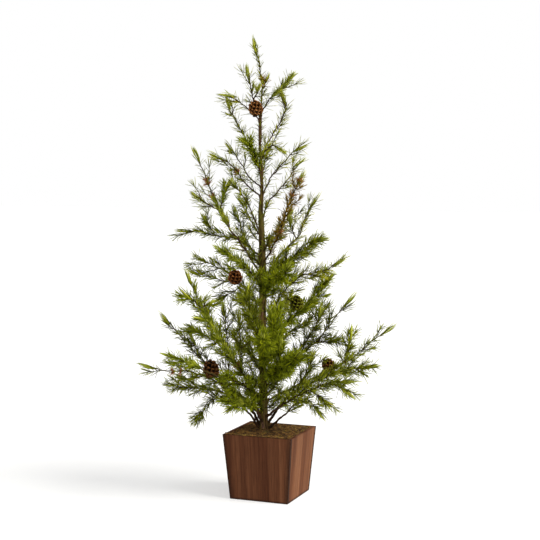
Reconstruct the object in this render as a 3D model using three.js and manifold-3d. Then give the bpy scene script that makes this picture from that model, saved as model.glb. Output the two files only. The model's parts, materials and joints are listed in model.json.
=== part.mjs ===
// Artificial tabletop tree: a wired evergreen in a small tapered wooden planter.
// Millimetres, +Z up. The origin is the centre of the planter's underside and
// the planter's sides face X and Y. The tree stands turned in its planter.
import * as THREE from 'three';
import { mergeVertices } from 'three/addons/utils/BufferGeometryUtils.js';
import Module from 'manifold-3d';

const wasm = await Module();
wasm.setup();

// ---- Driving dimensions ----
const GAP = 0.3; // clearance between touching pieces
const TREE_TURN = THREE.MathUtils.degToRad(21.7); // the tree's turn about +Z in its planter

const PLANTER = { height: 102.5, bottomWidth: 96, topWidth: 113.5, board: 5 };
const BASE_BOARD = { thickness: 5 };
const BALLAST = { top: 86, socketFloor: 13.6 };
const MOSS = { bottom: 86.3, edge: 98.5, shoulder: 101, crest: 102.5 };

const TRUNK = { foot: 14, top: 632, sides: 8, step: 36 };
const CORE = { radius: 2, top: 436, bore: 2.35 };
// The trunk's centre line as [x, z], and its radius as [z, radius]: it steps down where stems leave.
const TRUNK_LINE = [[-9, 0], [-9, 103], [-11, 182], [-13, 261], [-11, 308], [-12, 387],
  [-14, 449], [-12, 480], [-15, 541], [-15, 588], [-12, 632]];
const TRUNK_RADIUS = [[0, 6.4], [103, 6.4], [300, 6.0], [440, 5.4], [478, 2.8], [541, 2.4], [600, 2.1],
  [632, 1.7]];

const STEM = { root: 1.5, waist: 1.1, bud: 2.3, tip: 0.35, sides: 4, budLength: 22 };
const FORK = { root: 1.0, waist: 0.8, bud: 1.9, tip: 0.3, sides: 4, budLength: 17, leastForTwigs: 40 };
const TWIG = { root: 0.8, waist: 0.9, tip: 0.25, sides: 3, spread: 38, spacing: 42, roll: 137.5 };

// Each branch leaves the trunk at the height `root` and its wire passes `points`, tip last,
// in the tree's own frame: x to the tree's right, y to its back, z up.
const BRANCHES = [
  { name: 'leader', root: 634, points: [[-13, 0, 646], [-15, 2, 660], [-17, 0, 676], [-25, -2, 711]] },
  { name: 'top_left_upright', root: 600, points: [[-26, -4, 618], [-29, -6, 636], [-35, -6, 668]] },
  { name: 'top_right', root: 603, points: [[0, -14, 619], [17, -24, 634], [36, -34, 656]] },
  { name: 'top_left', root: 590, points: [[-35, -10, 606], [-47, -14, 614], [-60, -16, 622],
    [-75, -20, 625]] },
  { name: 'upper_right_hook', root: 538,
    points: [[0, 8, 559], [14, 12, 582], [23, 14, 600], [25, 14, 613], [17, 12, 631]] },
  { name: 'upper_left_hook', root: 517,
    points: [[-34, 10, 552], [-47, 18, 576], [-55, 20, 591], [-64, 22, 607], [-67, 22, 622]] },
  { name: 'upper_left_front', root: 508, points: [[-24, -22, 534], [-33, -34, 549], [-48, -44, 559]] },
  { name: 'upper_right_front', root: 526, points: [[-6, -24, 541], [5, -42, 547], [21, -62, 538]] },
  { name: 'upper_left_dark', root: 486, points: [[-31, 14, 498], [-47, 26, 523], [-58, 30, 539],
    [-69, 34, 553]] },
  { name: 'upper_left', root: 472, points: [[-37, -14, 489], [-49, -24, 506], [-62, -30, 521],
    [-91, -36, 535]] },
  { name: 'upper_right', root: 478, points: [[2, -14, 500], [20, -24, 521], [37, -28, 540],
    [56, -30, 549]] },
  { name: 'upper_right_long', root: 439,
    points: [[-3, 16, 459], [14, 30, 479], [30, 40, 498], [41, 44, 515], [55, 48, 529]] },
  { name: 'upper_back', root: 498, points: [[-9, 30, 517], [-6, 52, 536], [0, 66, 552]] },
  { name: 'middle_left_front', root: 421, points: [[-31, -16, 452], [-41, -28, 471], [-53, -36, 485],
    [-62, -44, 496]] },
  { name: 'middle_left_long', root: 355, points: [[-36, -10, 384], [-49, -16, 403], [-65, -20, 425],
    [-77, -20, 449], [-88, -18, 471], [-95, -16, 488], [-101, -14, 505], [-109, -12, 524],
    [-118, -10, 544]] },
  { name: 'middle_left', root: 380, points: [[-52, 14, 403], [-85, 24, 407], [-112, 28, 415],
    [-147, 32, 415]] },
  { name: 'middle_left_back', root: 365,
    points: [[-35, 30, 381], [-43, 46, 399], [-46, 54, 418], [-54, 60, 439], [-59, 64, 453]] },
  { name: 'middle_right_russet', root: 372, points: [[9, -22, 402], [17, -30, 422], [24, -34, 445],
    [30, -34, 462], [38, -32, 482], [52, -30, 506]] },
  { name: 'middle_right_long', root: 349, points: [[20, 12, 383], [41, 20, 403], [49, 22, 415],
    [53, 24, 431], [61, 24, 446], [75, 24, 471]] },
  { name: 'middle_right', root: 321, points: [[12, -20, 354], [31, -30, 375], [49, -36, 386],
    [66, -40, 400], [88, -44, 408]] },
  { name: 'middle_left_low', root: 333, points: [[-33, -46, 359], [-56, -66, 379], [-83, -84, 397]] },
  { name: 'middle_front', root: 312, points: [[3, -52, 344], [21, -84, 356], [30, -104, 373]] },
  { name: 'middle_left_flat', root: 302, points: [[-44, 22, 330], [-68, 34, 349], [-95, 40, 362],
    [-122, 44, 374]] },
  { name: 'middle_back_left', root: 408, points: [[-29, 40, 428], [-42, 72, 449], [-52, 92, 468]] },
  { name: 'middle_back_right', root: 390, points: [[10, 44, 406], [26, 84, 426], [36, 104, 448]] },
  { name: 'low_left_long', root: 122, points: [[-25, -15, 150], [-31, -28, 182], [-46, -50, 206],
    [-68, -70, 244], [-87, -74, 277], [-102, -70, 304], [-116, -62, 332], [-127, -56, 357]] },
  { name: 'low_left_rising', root: 113, points: [[-30, 5, 134], [-69, 10, 177], [-111, 22, 214],
    [-138, 26, 243], [-155, 28, 264], [-173, 30, 283]] },
  { name: 'low_left_reach', root: 134, points: [[-59, -26, 171], [-100, -36, 194], [-132, -40, 203],
    [-157, -42, 203], [-198, -44, 214]] },
  { name: 'low_left_front', root: 152, points: [[-44, -68, 188], [-84, -94, 206], [-116, -104, 223],
    [-157, -108, 239]] },
  { name: 'low_left_back', root: 130, points: [[-71, 50, 152], [-117, 70, 157], [-147, 78, 158],
    [-173, 84, 163]] },
  { name: 'low_left_droop', root: 107, points: [[-38, -10, 137], [-65, -22, 154], [-91, -28, 156],
    [-104, -32, 139], [-122, -34, 119]] },
  { name: 'low_front_left', root: 117, points: [[-25, -40, 149], [-43, -66, 158], [-66, -92, 151]] },
  { name: 'low_front', root: 208, points: [[-6, -60, 238], [-9, -100, 256], [-12, -126, 271]] },
  { name: 'low_front_right', root: 182, points: [[17, -56, 212], [33, -92, 225], [44, -118, 244]] },
  { name: 'right_high', root: 280, points: [[22, -8, 322], [48, -14, 347], [77, -18, 354],
    [97, -20, 363], [115, -22, 376]] },
  { name: 'right_rising', root: 236, points: [[22, 20, 265], [51, 36, 289], [73, 44, 310],
    [88, 48, 329], [101, 52, 346]] },
  { name: 'right_slant', root: 176, points: [[31, -22, 214], [71, -34, 247], [92, -38, 274],
    [110, -40, 300], [128, -42, 320]] },
  { name: 'right_long', root: 150, points: [[41, 14, 170], [95, 22, 193], [133, 26, 215],
    [162, 28, 240], [195, 30, 264]] },
  { name: 'right_flat', root: 116, points: [[17, -12, 146], [40, -30, 170], [84, -50, 195],
    [114, -58, 207], [140, -62, 211], [164, -66, 215]] },
  { name: 'right_low', root: 126, points: [[31, -56, 161], [60, -78, 180], [90, -90, 193],
    [124, -100, 197]] },
  { name: 'right_droop', root: 107, points: [[19, -16, 127], [50, -24, 156], [67, -28, 148],
    [84, -32, 127]] },
  { name: 'back_high_left', root: 236, points: [[-26, 40, 262], [-41, 80, 287], [-53, 112, 310]] },
  { name: 'back_high_right', root: 252, points: [[10, 60, 270], [30, 110, 290], [37, 142, 310]] },
  { name: 'back_low_left', root: 195, points: [[-32, 70, 210], [-53, 124, 225], [-64, 158, 241]] },
  { name: 'back_low_right', root: 166, points: [[13, 76, 173], [37, 130, 184], [51, 162, 193]] },
  { name: 'back_right', root: 222, points: [[32, 50, 252], [68, 80, 270], [98, 100, 291]] },
];

// Side wires that fork off a branch. `at` counts the branch's points (-1 is its root), and the rest
// of a side wire's points are x, y, z as above.
const FORKS = {
  leader: [
    { at: -1, points: [[-8, -4, 642], [-2, -8, 656]] },
  ],
  top_left_upright: [
    { at: 0, points: [[-20, -10, 628], [-15, -14, 642]] },
  ],
  middle_left_long: [
    { at: 3, points: [[-94, -22, 457], [-110, -24, 468], [-121, -24, 477]] },
    { at: 3, points: [[-72, -26, 468], [-66, -30, 482], [-59, -32, 496]] },
  ],
  middle_left: [
    { at: 1, points: [[-96, 28, 423], [-107, 30, 441]] },
  ],
  middle_left_flat: [
    { at: 0, points: [[-66, 28, 334], [-95, 32, 342], [-119, 36, 348], [-130, 38, 352]] },
    { at: 0, points: [[-58, 12, 320], [-74, 6, 312], [-88, 2, 305]] },
  ],
  low_left_long: [
    { at: 2, points: [[-44, -44, 233], [-46, -40, 260], [-49, -38, 297]] },
    { at: 3, points: [[-93, -56, 256], [-113, -50, 265], [-130, -46, 270]] },
    { at: 4, points: [[-100, -84, 289], [-113, -90, 292]] },
    { at: 5, points: [[-116, -76, 316], [-132, -80, 332]] },
    { at: 5, points: [[-93, -80, 311], [-82, -84, 316]] },
  ],
  low_left_rising: [
    { at: 1, points: [[-63, -2, 214], [-66, -6, 245], [-70, -8, 275], [-73, -8, 304]] },
    { at: 2, points: [[-117, 14, 232], [-126, 8, 254]] },
  ],
  low_left_back: [
    { at: 1, points: [[-134, 66, 172], [-152, 62, 180]] },
  ],
  low_front: [
    { at: 0, points: [[-20, -62, 266], [-29, -62, 295], [-35, -60, 319], [-32, -58, 339]] },
    { at: 0, points: [[4, -68, 262], [9, -66, 287], [7, -62, 308]] },
  ],
  low_front_right: [
    { at: 0, points: [[15, -72, 236], [18, -84, 257]] },
  ],
  right_slant: [
    { at: 0, points: [[49, -36, 241], [64, -46, 264], [73, -50, 284], [78, -52, 305]] },
    { at: 1, points: [[90, -40, 248], [113, -42, 254]] },
  ],
  right_flat: [
    { at: 1, points: [[52, -42, 195], [61, -50, 215], [67, -54, 236]] },
    { at: 3, points: [[116, -52, 226], [121, -48, 249], [125, -46, 272]] },
  ],
  right_low: [
    { at: 1, points: [[76, -84, 170], [94, -86, 158]] },
    { at: 2, points: [[108, -98, 186], [123, -102, 174]] },
  ],
  middle_right_long: [
    { at: 1, points: [[34, 14, 419], [31, 10, 439]] },
  ],
};

// Cones sit beside the branch (or the trunk) that their short wires are twisted on.
const CONES = [
  { name: 'cone_top', at: [-22, -17, 607], radius: 11.5, length: 23 },
  { name: 'cone_middle_left', at: [-54, -22, 348], radius: 11, length: 24 },
  { name: 'cone_low_left', at: [-89, -70, 213], radius: 12, length: 32 },
  { name: 'cone_low_right', at: [91, -8, 209], radius: 10.5, length: 22 },
  { name: 'cone_middle_right', at: [41, -32, 309], radius: 11, length: 24 },
];
const CONE = { sides: 8, layers: 6, scaleStep: 0.82 };

// ---- Materials ----
const material = (color, roughness) => new THREE.MeshStandardMaterial({ color, roughness, metalness: 0 });
const STAINED_WOOD = material(0x5f3424, 0.6);
const PLASTER = material(0xb9b2a4, 0.95);
const MOSS_FIBRE = material(0x4d3b1c, 1);
const WRAPPED_BARK = material(0x4a3a1a, 0.9);
const STEEL_WIRE = new THREE.MeshStandardMaterial({ color: 0x8b8d8f, roughness: 0.4, metalness: 1 });
const FOLIAGE = material(0x46561b, 0.8);
const CONE_SCALE = material(0x4b2a18, 0.85);

// ---- Geometry helpers ----
const X_AXIS = new THREE.Vector3(1, 0, 0);
const Z_AXIS = new THREE.Vector3(0, 0, 1);

// A closed body through rings of equal point count, each counter-clockwise seen from the last ring.
function loft(rings) {
  const n = rings[0].length;
  const last = (rings.length - 1) * n;
  const index = [];
  for (let i = 0; i < rings.length - 1; i++) {
    for (let j = 0; j < n; j++) {
      const a = i * n + j;
      const b = i * n + (j + 1) % n;
      index.push(a, b, b + n, a, b + n, a + n);
    }
  }
  for (let j = 1; j < n - 1; j++) index.push(0, j + 1, j, last, last + j, last + j + 1);
  const geometry = new THREE.BufferGeometry();
  geometry.setAttribute('position', new THREE.Float32BufferAttribute(rings.flat(2), 3));
  geometry.setIndex(index);
  return geometry;
}

function toSolid(geometry) {
  const clean = geometry.clone();
  clean.deleteAttribute('normal');
  clean.deleteAttribute('uv');
  const merged = mergeVertices(clean);
  const vertProperties = new Float32Array(merged.attributes.position.array);
  const triVerts = new Uint32Array(merged.index.array);
  return new wasm.Manifold(new wasm.Mesh({ numProp: 3, vertProperties, triVerts }));
}

function toGeometry(solid) {
  const mesh = solid.getMesh();
  const geometry = new THREE.BufferGeometry();
  geometry.setAttribute('position', new THREE.BufferAttribute(new Float32Array(mesh.vertProperties), 3));
  geometry.setIndex(new THREE.BufferAttribute(new Uint32Array(mesh.triVerts), 1));
  return geometry;
}

// The value at x on a line through [x, value] pairs.
function interpolate(pairs, x) {
  const last = pairs.length - 1;
  const i = Math.max(0, Math.min(last - 1, pairs.findIndex((pair) => pair[0] > x) - 1));
  if (x >= pairs[last][0]) return pairs[last][1];
  const [[x0, y0], [x1, y1]] = [pairs[i], pairs[i + 1]];
  return y0 + (y1 - y0) * (x - x0) / (x1 - x0);
}

const trunkX = (z) => interpolate(TRUNK_LINE.map(([x, height]) => [height, x]), z);
const trunkRadius = (z) => interpolate(TRUNK_RADIUS, z);

// A tube with a many-sided section along a path of Vector3, with one radius per point.
function sweep(path, radii, sides) {
  const side = new THREE.Vector3();
  const rings = path.map((point, i) => {
    const ahead = path[Math.min(i + 1, path.length - 1)];
    const behind = path[Math.max(i - 1, 0)];
    const tangent = ahead.clone().sub(behind).normalize();
    if (i === 0) side.crossVectors(tangent, Math.abs(tangent.z) > 0.9 ? X_AXIS : Z_AXIS);
    side.addScaledVector(tangent, -side.dot(tangent)).normalize();
    const up = tangent.clone().cross(side);
    return Array.from({ length: sides }, (_, k) => {
      const angle = (2 * Math.PI * k) / sides;
      const corner = point.clone().addScaledVector(side, radii[i] * Math.cos(angle));
      return corner.addScaledVector(up, radii[i] * Math.sin(angle)).toArray();
    });
  });
  return loft(rings);
}

// ---- The planter ----
const halfWidth = (z) => (PLANTER.bottomWidth
  + (PLANTER.topWidth - PLANTER.bottomWidth) * z / PLANTER.height) / 2;
const insideHalf = (z) => halfWidth(z) - PLANTER.board - GAP;

// A board between x0..x1 and y0..y1, each given as a function of the height.
function boardGeometry(x0, x1, y0, y1) {
  return loft([0, PLANTER.height].map((z) => [
    [x0(z), y0(z), z], [x1(z), y0(z), z], [x1(z), y1(z), z], [x0(z), y1(z), z]]));
}

function planterBoards() {
  const outer = halfWidth;
  const inner = (z) => halfWidth(z) - PLANTER.board;
  const minus = (f) => (z) => -f(z);
  return {
    board_front: boardGeometry(minus(outer), outer, minus(outer), minus(inner)),
    board_back: boardGeometry(minus(outer), outer, inner, outer),
    board_left: boardGeometry(minus(outer), minus(inner), minus(insideHalf), insideHalf),
    board_right: boardGeometry(inner, outer, minus(insideHalf), insideHalf),
  };
}

// A square ring at height z, with `steps` points along each side.
function squareRing(half, z, steps) {
  const corners = [[-half, -half], [half, -half], [half, half], [-half, half]];
  return corners.flatMap(([x0, y0], i) => {
    const [x1, y1] = corners[(i + 1) % 4];
    return Array.from({ length: steps }, (_, k) => [
      x0 + (x1 - x0) * k / steps, y0 + (y1 - y0) * k / steps, z]);
  });
}

// ---- The trunk ----
const trunkHeights = (from, to) => {
  const inner = TRUNK_LINE.map(([, z]) => z).filter((z) => z > from && z < to);
  return [from, ...inner, to];
};

function trunkTube(from, to, radiusAt) {
  const heights = trunkHeights(from, to);
  return loft(heights.map((z) => Array.from({ length: TRUNK.sides }, (_, k) => {
    const angle = (2 * Math.PI * (k + 0.5)) / TRUNK.sides;
    return [trunkX(z) + radiusAt(z) * Math.cos(angle), radiusAt(z) * Math.sin(angle), z];
  })));
}

// ---- The branches ----
function branchRoot({ name, root, points }) {
  const centre = new THREE.Vector3(trunkX(root), 0, root);
  if (name === 'leader') return centre.setZ(TRUNK.top + GAP + STEM.root);
  const out = new THREE.Vector3(points[0][0] - centre.x, points[0][1], 0).normalize();
  return centre.addScaledVector(out, trunkRadius(root) + GAP + STEM.root);
}

// The unit vector at a right angle to `tangent`, rolled about it by `roll` radians from level.
function sideways(tangent, roll) {
  const level = new THREE.Vector3().crossVectors(tangent, Z_AXIS).normalize();
  return level.applyAxisAngle(tangent, roll);
}

// Twigs leave the wire at even spacing, each rolled round it by the golden angle.
function twigPaths(path, number) {
  const lengths = path.map((point, i) => (i ? point.distanceTo(path[i - 1]) : 0));
  const total = lengths.reduce((sum, length) => sum + length, 0);
  const count = Math.max(1, Math.round((total - STEM.budLength) / TWIG.spacing));
  return Array.from({ length: count }, (_, k) => {
    let along = (0.3 + 0.62 * (k + 0.5) / count) * total;
    let i = 1;
    while (along > lengths[i] && i < path.length - 1) along -= lengths[i++];
    const tangent = path[i].clone().sub(path[i - 1]).normalize();
    const start = path[i - 1].clone().addScaledVector(tangent, along);
    const spread = THREE.MathUtils.degToRad(TWIG.spread);
    const roll = THREE.MathUtils.degToRad(TWIG.roll * k + 40 * number);
    const heading = tangent.clone().multiplyScalar(Math.cos(spread))
      .addScaledVector(sideways(tangent, roll), Math.sin(spread));
    const reach = 20 + 9 * Math.sin(2.4 * k + number);
    const elbow = start.clone().addScaledVector(heading, 0.5 * reach);
    const end = elbow.clone().addScaledVector(heading.lerp(tangent, 0.35).normalize(), 0.5 * reach);
    return [start, elbow, end];
  });
}

function branchPath(branch) {
  return [branchRoot(branch), ...branch.points.map((point) => new THREE.Vector3(...point))];
}

// A side wire's path starts on its branch's path.
function forkPaths(path, name) {
  return (FORKS[name] ?? []).map(({ at, points }) => [
    path[at + 1].clone(), ...points.map((point) => new THREE.Vector3(...point))]);
}

function pathLength(path) {
  return path.slice(1).reduce((sum, point, i) => sum + point.distanceTo(path[i]), 0);
}

// A wire starts in a small ball at its root and ends in a closed bud.
function wireGeometry(path, size) {
  const out = path[1].clone().sub(path[0]).normalize();
  const [last, before] = [path.at(-1), path.at(-2)];
  const budStart = last.clone().lerp(before, Math.min(0.85, size.budLength / last.distanceTo(before)));
  const budMiddle = last.clone().lerp(budStart, 0.55);
  const ball = [path[0].clone().addScaledVector(out, -size.root), path[0]];
  const line = [...ball, ...path.slice(1, -1), budStart, budMiddle, last];
  const radii = line.map((_, i) => {
    if (i === 0 || i === line.length - 1) return size.tip;
    if (i === line.length - 2) return size.bud;
    return size.root + (size.waist - size.root) * (i - 1) / (line.length - 4);
  });
  return sweep(line, radii, size.sides);
}

function branchGeometry(path, number, name) {
  const forks = forkPaths(path, name);
  const bodies = [wireGeometry(path, STEM), ...forks.map((fork) => wireGeometry(fork, FORK))];
  const twigs = twigPaths(path, number);
  forks.forEach((fork, k) => {
    if (pathLength(fork) > FORK.leastForTwigs) twigs.push(...twigPaths(fork, number + k + 1));
  });
  for (const twig of twigs) bodies.push(sweep(twig, [TWIG.root, TWIG.waist, TWIG.tip], TWIG.sides));
  return toGeometry(bodies.map(toSolid).reduce((whole, body) => whole.add(body)));
}

// ---- The cones ----

// A pine cone as stacked rows of scales: each row opens out and then steps back in.
function coneGeometry({ radius, length }) {
  const rings = [];
  for (let layer = 0; layer <= CONE.layers; layer++) {
    const t = layer / CONE.layers;
    const swell = Math.sin(Math.PI * Math.min(0.96, 0.12 + 0.86 * t)) ** 0.6;
    for (const [rise, reach] of layer < CONE.layers ? [[0, CONE.scaleStep], [0.55, 1]] : [[0, 0.5]]) {
      const z = length * ((layer + rise) / CONE.layers - 0.5);
      rings.push(Array.from({ length: CONE.sides }, (_, k) => {
        const angle = (2 * Math.PI * (k + 0.5 * (layer % 2))) / CONE.sides;
        return [radius * swell * reach * Math.cos(angle), radius * swell * reach * Math.sin(angle), z];
      }));
    }
  }
  return loft(rings);
}

// ---- Assembly ----
const assembly = new THREE.Group();

function addMesh(group, name, geometry, look) {
  const mesh = new THREE.Mesh(geometry, look);
  mesh.name = name;
  group.add(mesh);
  return mesh;
}

for (const [name, geometry] of Object.entries(planterBoards())) {
  addMesh(assembly, name, geometry, STAINED_WOOD);
}

addMesh(assembly, 'base_board', loft([0, BASE_BOARD.thickness].map((z) => squareRing(insideHalf(z), z, 1))),
  STAINED_WOOD);

const ballastBlock = toSolid(loft([BASE_BOARD.thickness + GAP, BALLAST.top]
  .map((z) => squareRing(insideHalf(z), z, 1))));
const trunkSocket = trunkTube(BALLAST.socketFloor, MOSS.crest + 5, (z) => trunkRadius(z) + GAP + 0.1)
  .rotateZ(TREE_TURN);
addMesh(assembly, 'ballast_block', toGeometry(ballastBlock.subtract(toSolid(trunkSocket))), PLASTER);

const mossMat = toSolid(loft([
  squareRing(insideHalf(MOSS.bottom), MOSS.bottom, 4),
  squareRing(insideHalf(MOSS.edge), MOSS.edge, 4),
  squareRing(0.62 * insideHalf(MOSS.shoulder), MOSS.shoulder, 4),
  squareRing(0.25 * insideHalf(MOSS.crest), MOSS.crest, 4),
]));
addMesh(assembly, 'moss_mat', toGeometry(mossMat.subtract(toSolid(trunkSocket))), MOSS_FIBRE);

const tree = new THREE.Group();
tree.rotation.z = TREE_TURN;
assembly.add(tree);

const bark = toSolid(trunkTube(TRUNK.foot, TRUNK.top, trunkRadius));
const coreBore = toSolid(trunkTube(TRUNK.foot - 1, CORE.top + GAP, () => CORE.bore));
addMesh(tree, 'trunk_bark', toGeometry(bark.subtract(coreBore)), WRAPPED_BARK);
addMesh(tree, 'trunk_core', trunkTube(TRUNK.foot, CORE.top, () => CORE.radius), STEEL_WIRE);

BRANCHES.forEach((branch, number) => {
  const path = branchPath(branch);
  const out = path.at(-1).clone().sub(path[0]).setZ(0).normalize();
  const mesh = addMesh(tree, branch.name, branchGeometry(path, number, branch.name), FOLIAGE);
  // The wire bends up and down about a level axis through its root.
  mesh.userData = { pivot: path[0].toArray(), bendAxis: [out.y, -out.x, 0] };
});

for (const cone of CONES) {
  const mesh = addMesh(tree, cone.name, coneGeometry(cone), CONE_SCALE);
  mesh.position.set(...cone.at);
  mesh.rotation.set(0.35, -0.3, 0);
}

export default assembly;
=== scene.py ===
"""Artificial tabletop tree: a wired evergreen with cones in a stained wooden planter.

Everything is in metres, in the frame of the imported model: the origin is the centre of the
planter's underside, +Z is up, and the planter's sides face X and Y.
"""

import json
import math
from collections import defaultdict, namedtuple

import bpy
import numpy as np
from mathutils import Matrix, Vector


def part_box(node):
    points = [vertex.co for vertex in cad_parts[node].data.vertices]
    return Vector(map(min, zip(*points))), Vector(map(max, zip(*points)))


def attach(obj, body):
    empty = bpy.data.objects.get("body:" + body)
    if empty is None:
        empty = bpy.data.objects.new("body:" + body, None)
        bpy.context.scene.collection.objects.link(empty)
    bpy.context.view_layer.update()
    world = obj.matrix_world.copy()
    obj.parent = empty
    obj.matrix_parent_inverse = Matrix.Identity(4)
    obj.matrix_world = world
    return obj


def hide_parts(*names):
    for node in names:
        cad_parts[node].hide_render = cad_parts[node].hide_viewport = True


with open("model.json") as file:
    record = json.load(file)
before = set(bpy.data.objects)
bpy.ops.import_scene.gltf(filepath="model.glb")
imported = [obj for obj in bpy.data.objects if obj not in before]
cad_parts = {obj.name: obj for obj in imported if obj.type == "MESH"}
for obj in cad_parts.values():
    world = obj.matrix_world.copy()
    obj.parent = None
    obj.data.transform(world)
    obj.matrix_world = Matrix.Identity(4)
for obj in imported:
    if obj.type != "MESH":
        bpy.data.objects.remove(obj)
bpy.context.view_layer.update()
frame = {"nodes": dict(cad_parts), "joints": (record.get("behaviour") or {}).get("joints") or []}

MM = 0.001
UP = np.array([0.0, 0.0, 1.0])
TREE_TURN = math.radians(21.7)  # the tree's turn about +Z in its planter
GOLDEN_ANGLE = math.radians(137.5)
# The body that each cone is wired to.
CONE_ON = {"cone_top": "planter", "cone_middle_left": "middle_left_flat",
           "cone_low_left": "low_left_front", "cone_low_right": "right_flat",
           "cone_middle_right": "right_high"}


CAMERA = {"distance": 2.0, "height": 0.518, "pitch_deg": 4.65, "lens_mm": 85.87}


def make_camera():
    """The camera looks level across the tree's own front, tipped slightly down."""
    data = bpy.data.cameras.new("camera")
    data.sensor_width = 36.0
    data.lens = CAMERA["lens_mm"]
    data.clip_end = 100.0
    camera = bpy.data.objects.new("camera", data)
    reach = CAMERA["distance"]
    camera.location = (reach * math.sin(TREE_TURN), -reach * math.cos(TREE_TURN), CAMERA["height"])
    camera.rotation_euler = (math.radians(90.0 - CAMERA["pitch_deg"]), 0.0, TREE_TURN)
    bpy.context.scene.collection.objects.link(camera)
    bpy.context.scene.camera = camera


SKY = {"seen": 1.0, "lighting": 0.34}
FLOOR = {"half_width": 12.0, "drop": 0.0005, "colour": (0.55, 0.55, 0.545, 1.0), "glow": 0.5}
WHITE = (1.0, 1.0, 1.0, 1.0)
# Far soft lamps, in degrees. Azimuth 0 is on the camera's side of the tree, 90 to its right.
LAMPS = {
    "key_lamp": {"azimuth": 66.0, "elevation": 40.0, "strength": 3.7, "softness": 34.0,
                 "colour": (1.0, 0.985, 0.95)},
    "fill_lamp": {"azimuth": -20.0, "elevation": 38.0, "strength": 0.75, "softness": 60.0,
                  "colour": (1.0, 1.0, 1.0)},
}


def make_lamps():
    for name, lamp in LAMPS.items():
        data = bpy.data.lights.new(name, "SUN")
        data.energy = lamp["strength"]
        data.angle = math.radians(lamp["softness"])
        data.color = lamp["colour"]
        light = bpy.data.objects.new(name, data)
        tip = math.radians(90.0 - lamp["elevation"])
        light.rotation_euler = (tip, 0.0, math.radians(lamp["azimuth"]) + TREE_TURN)
        bpy.context.scene.collection.objects.link(light)


def make_floor():
    """A wide pale floor, just under the planter."""
    half = FLOOR["half_width"]
    corners = [(-half, -half, 0.0), (half, -half, 0.0), (half, half, 0.0), (-half, half, 0.0)]
    mesh = bpy.data.meshes.new("floor")
    mesh.from_pydata(corners, [], [(0, 1, 2, 3)])
    paint = Paint("pale_floor", 0.9)
    paint.feed(paint.shader.inputs["Base Color"], FLOOR["colour"])
    paint.feed(paint.shader.inputs["Emission Color"], WHITE)
    paint.feed(paint.shader.inputs["Emission Strength"], FLOOR["glow"])
    mesh.materials.append(paint.material)
    floor = bpy.data.objects.new("floor", mesh)
    floor.location.z = -FLOOR["drop"]
    bpy.context.scene.collection.objects.link(floor)


def make_sky():
    """An even sky that is seen white and lights the tree softly."""
    world = bpy.data.worlds.new("pale_sky")
    world.use_nodes = True
    nodes = world.node_tree.nodes
    links = world.node_tree.links
    sky = nodes["Background"]
    sky.inputs["Color"].default_value = WHITE
    rays = nodes.new("ShaderNodeLightPath")
    strength = nodes.new("ShaderNodeMapRange")
    strength.inputs["To Min"].default_value = SKY["lighting"]
    strength.inputs["To Max"].default_value = SKY["seen"]
    links.new(rays.outputs["Is Camera Ray"], strength.inputs["Value"])
    links.new(strength.outputs["Result"], sky.inputs["Strength"])
    bpy.context.scene.world = world
    bpy.context.scene.view_settings.view_transform = "Standard"


# ---------------------------------------------------------------- materials


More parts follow.
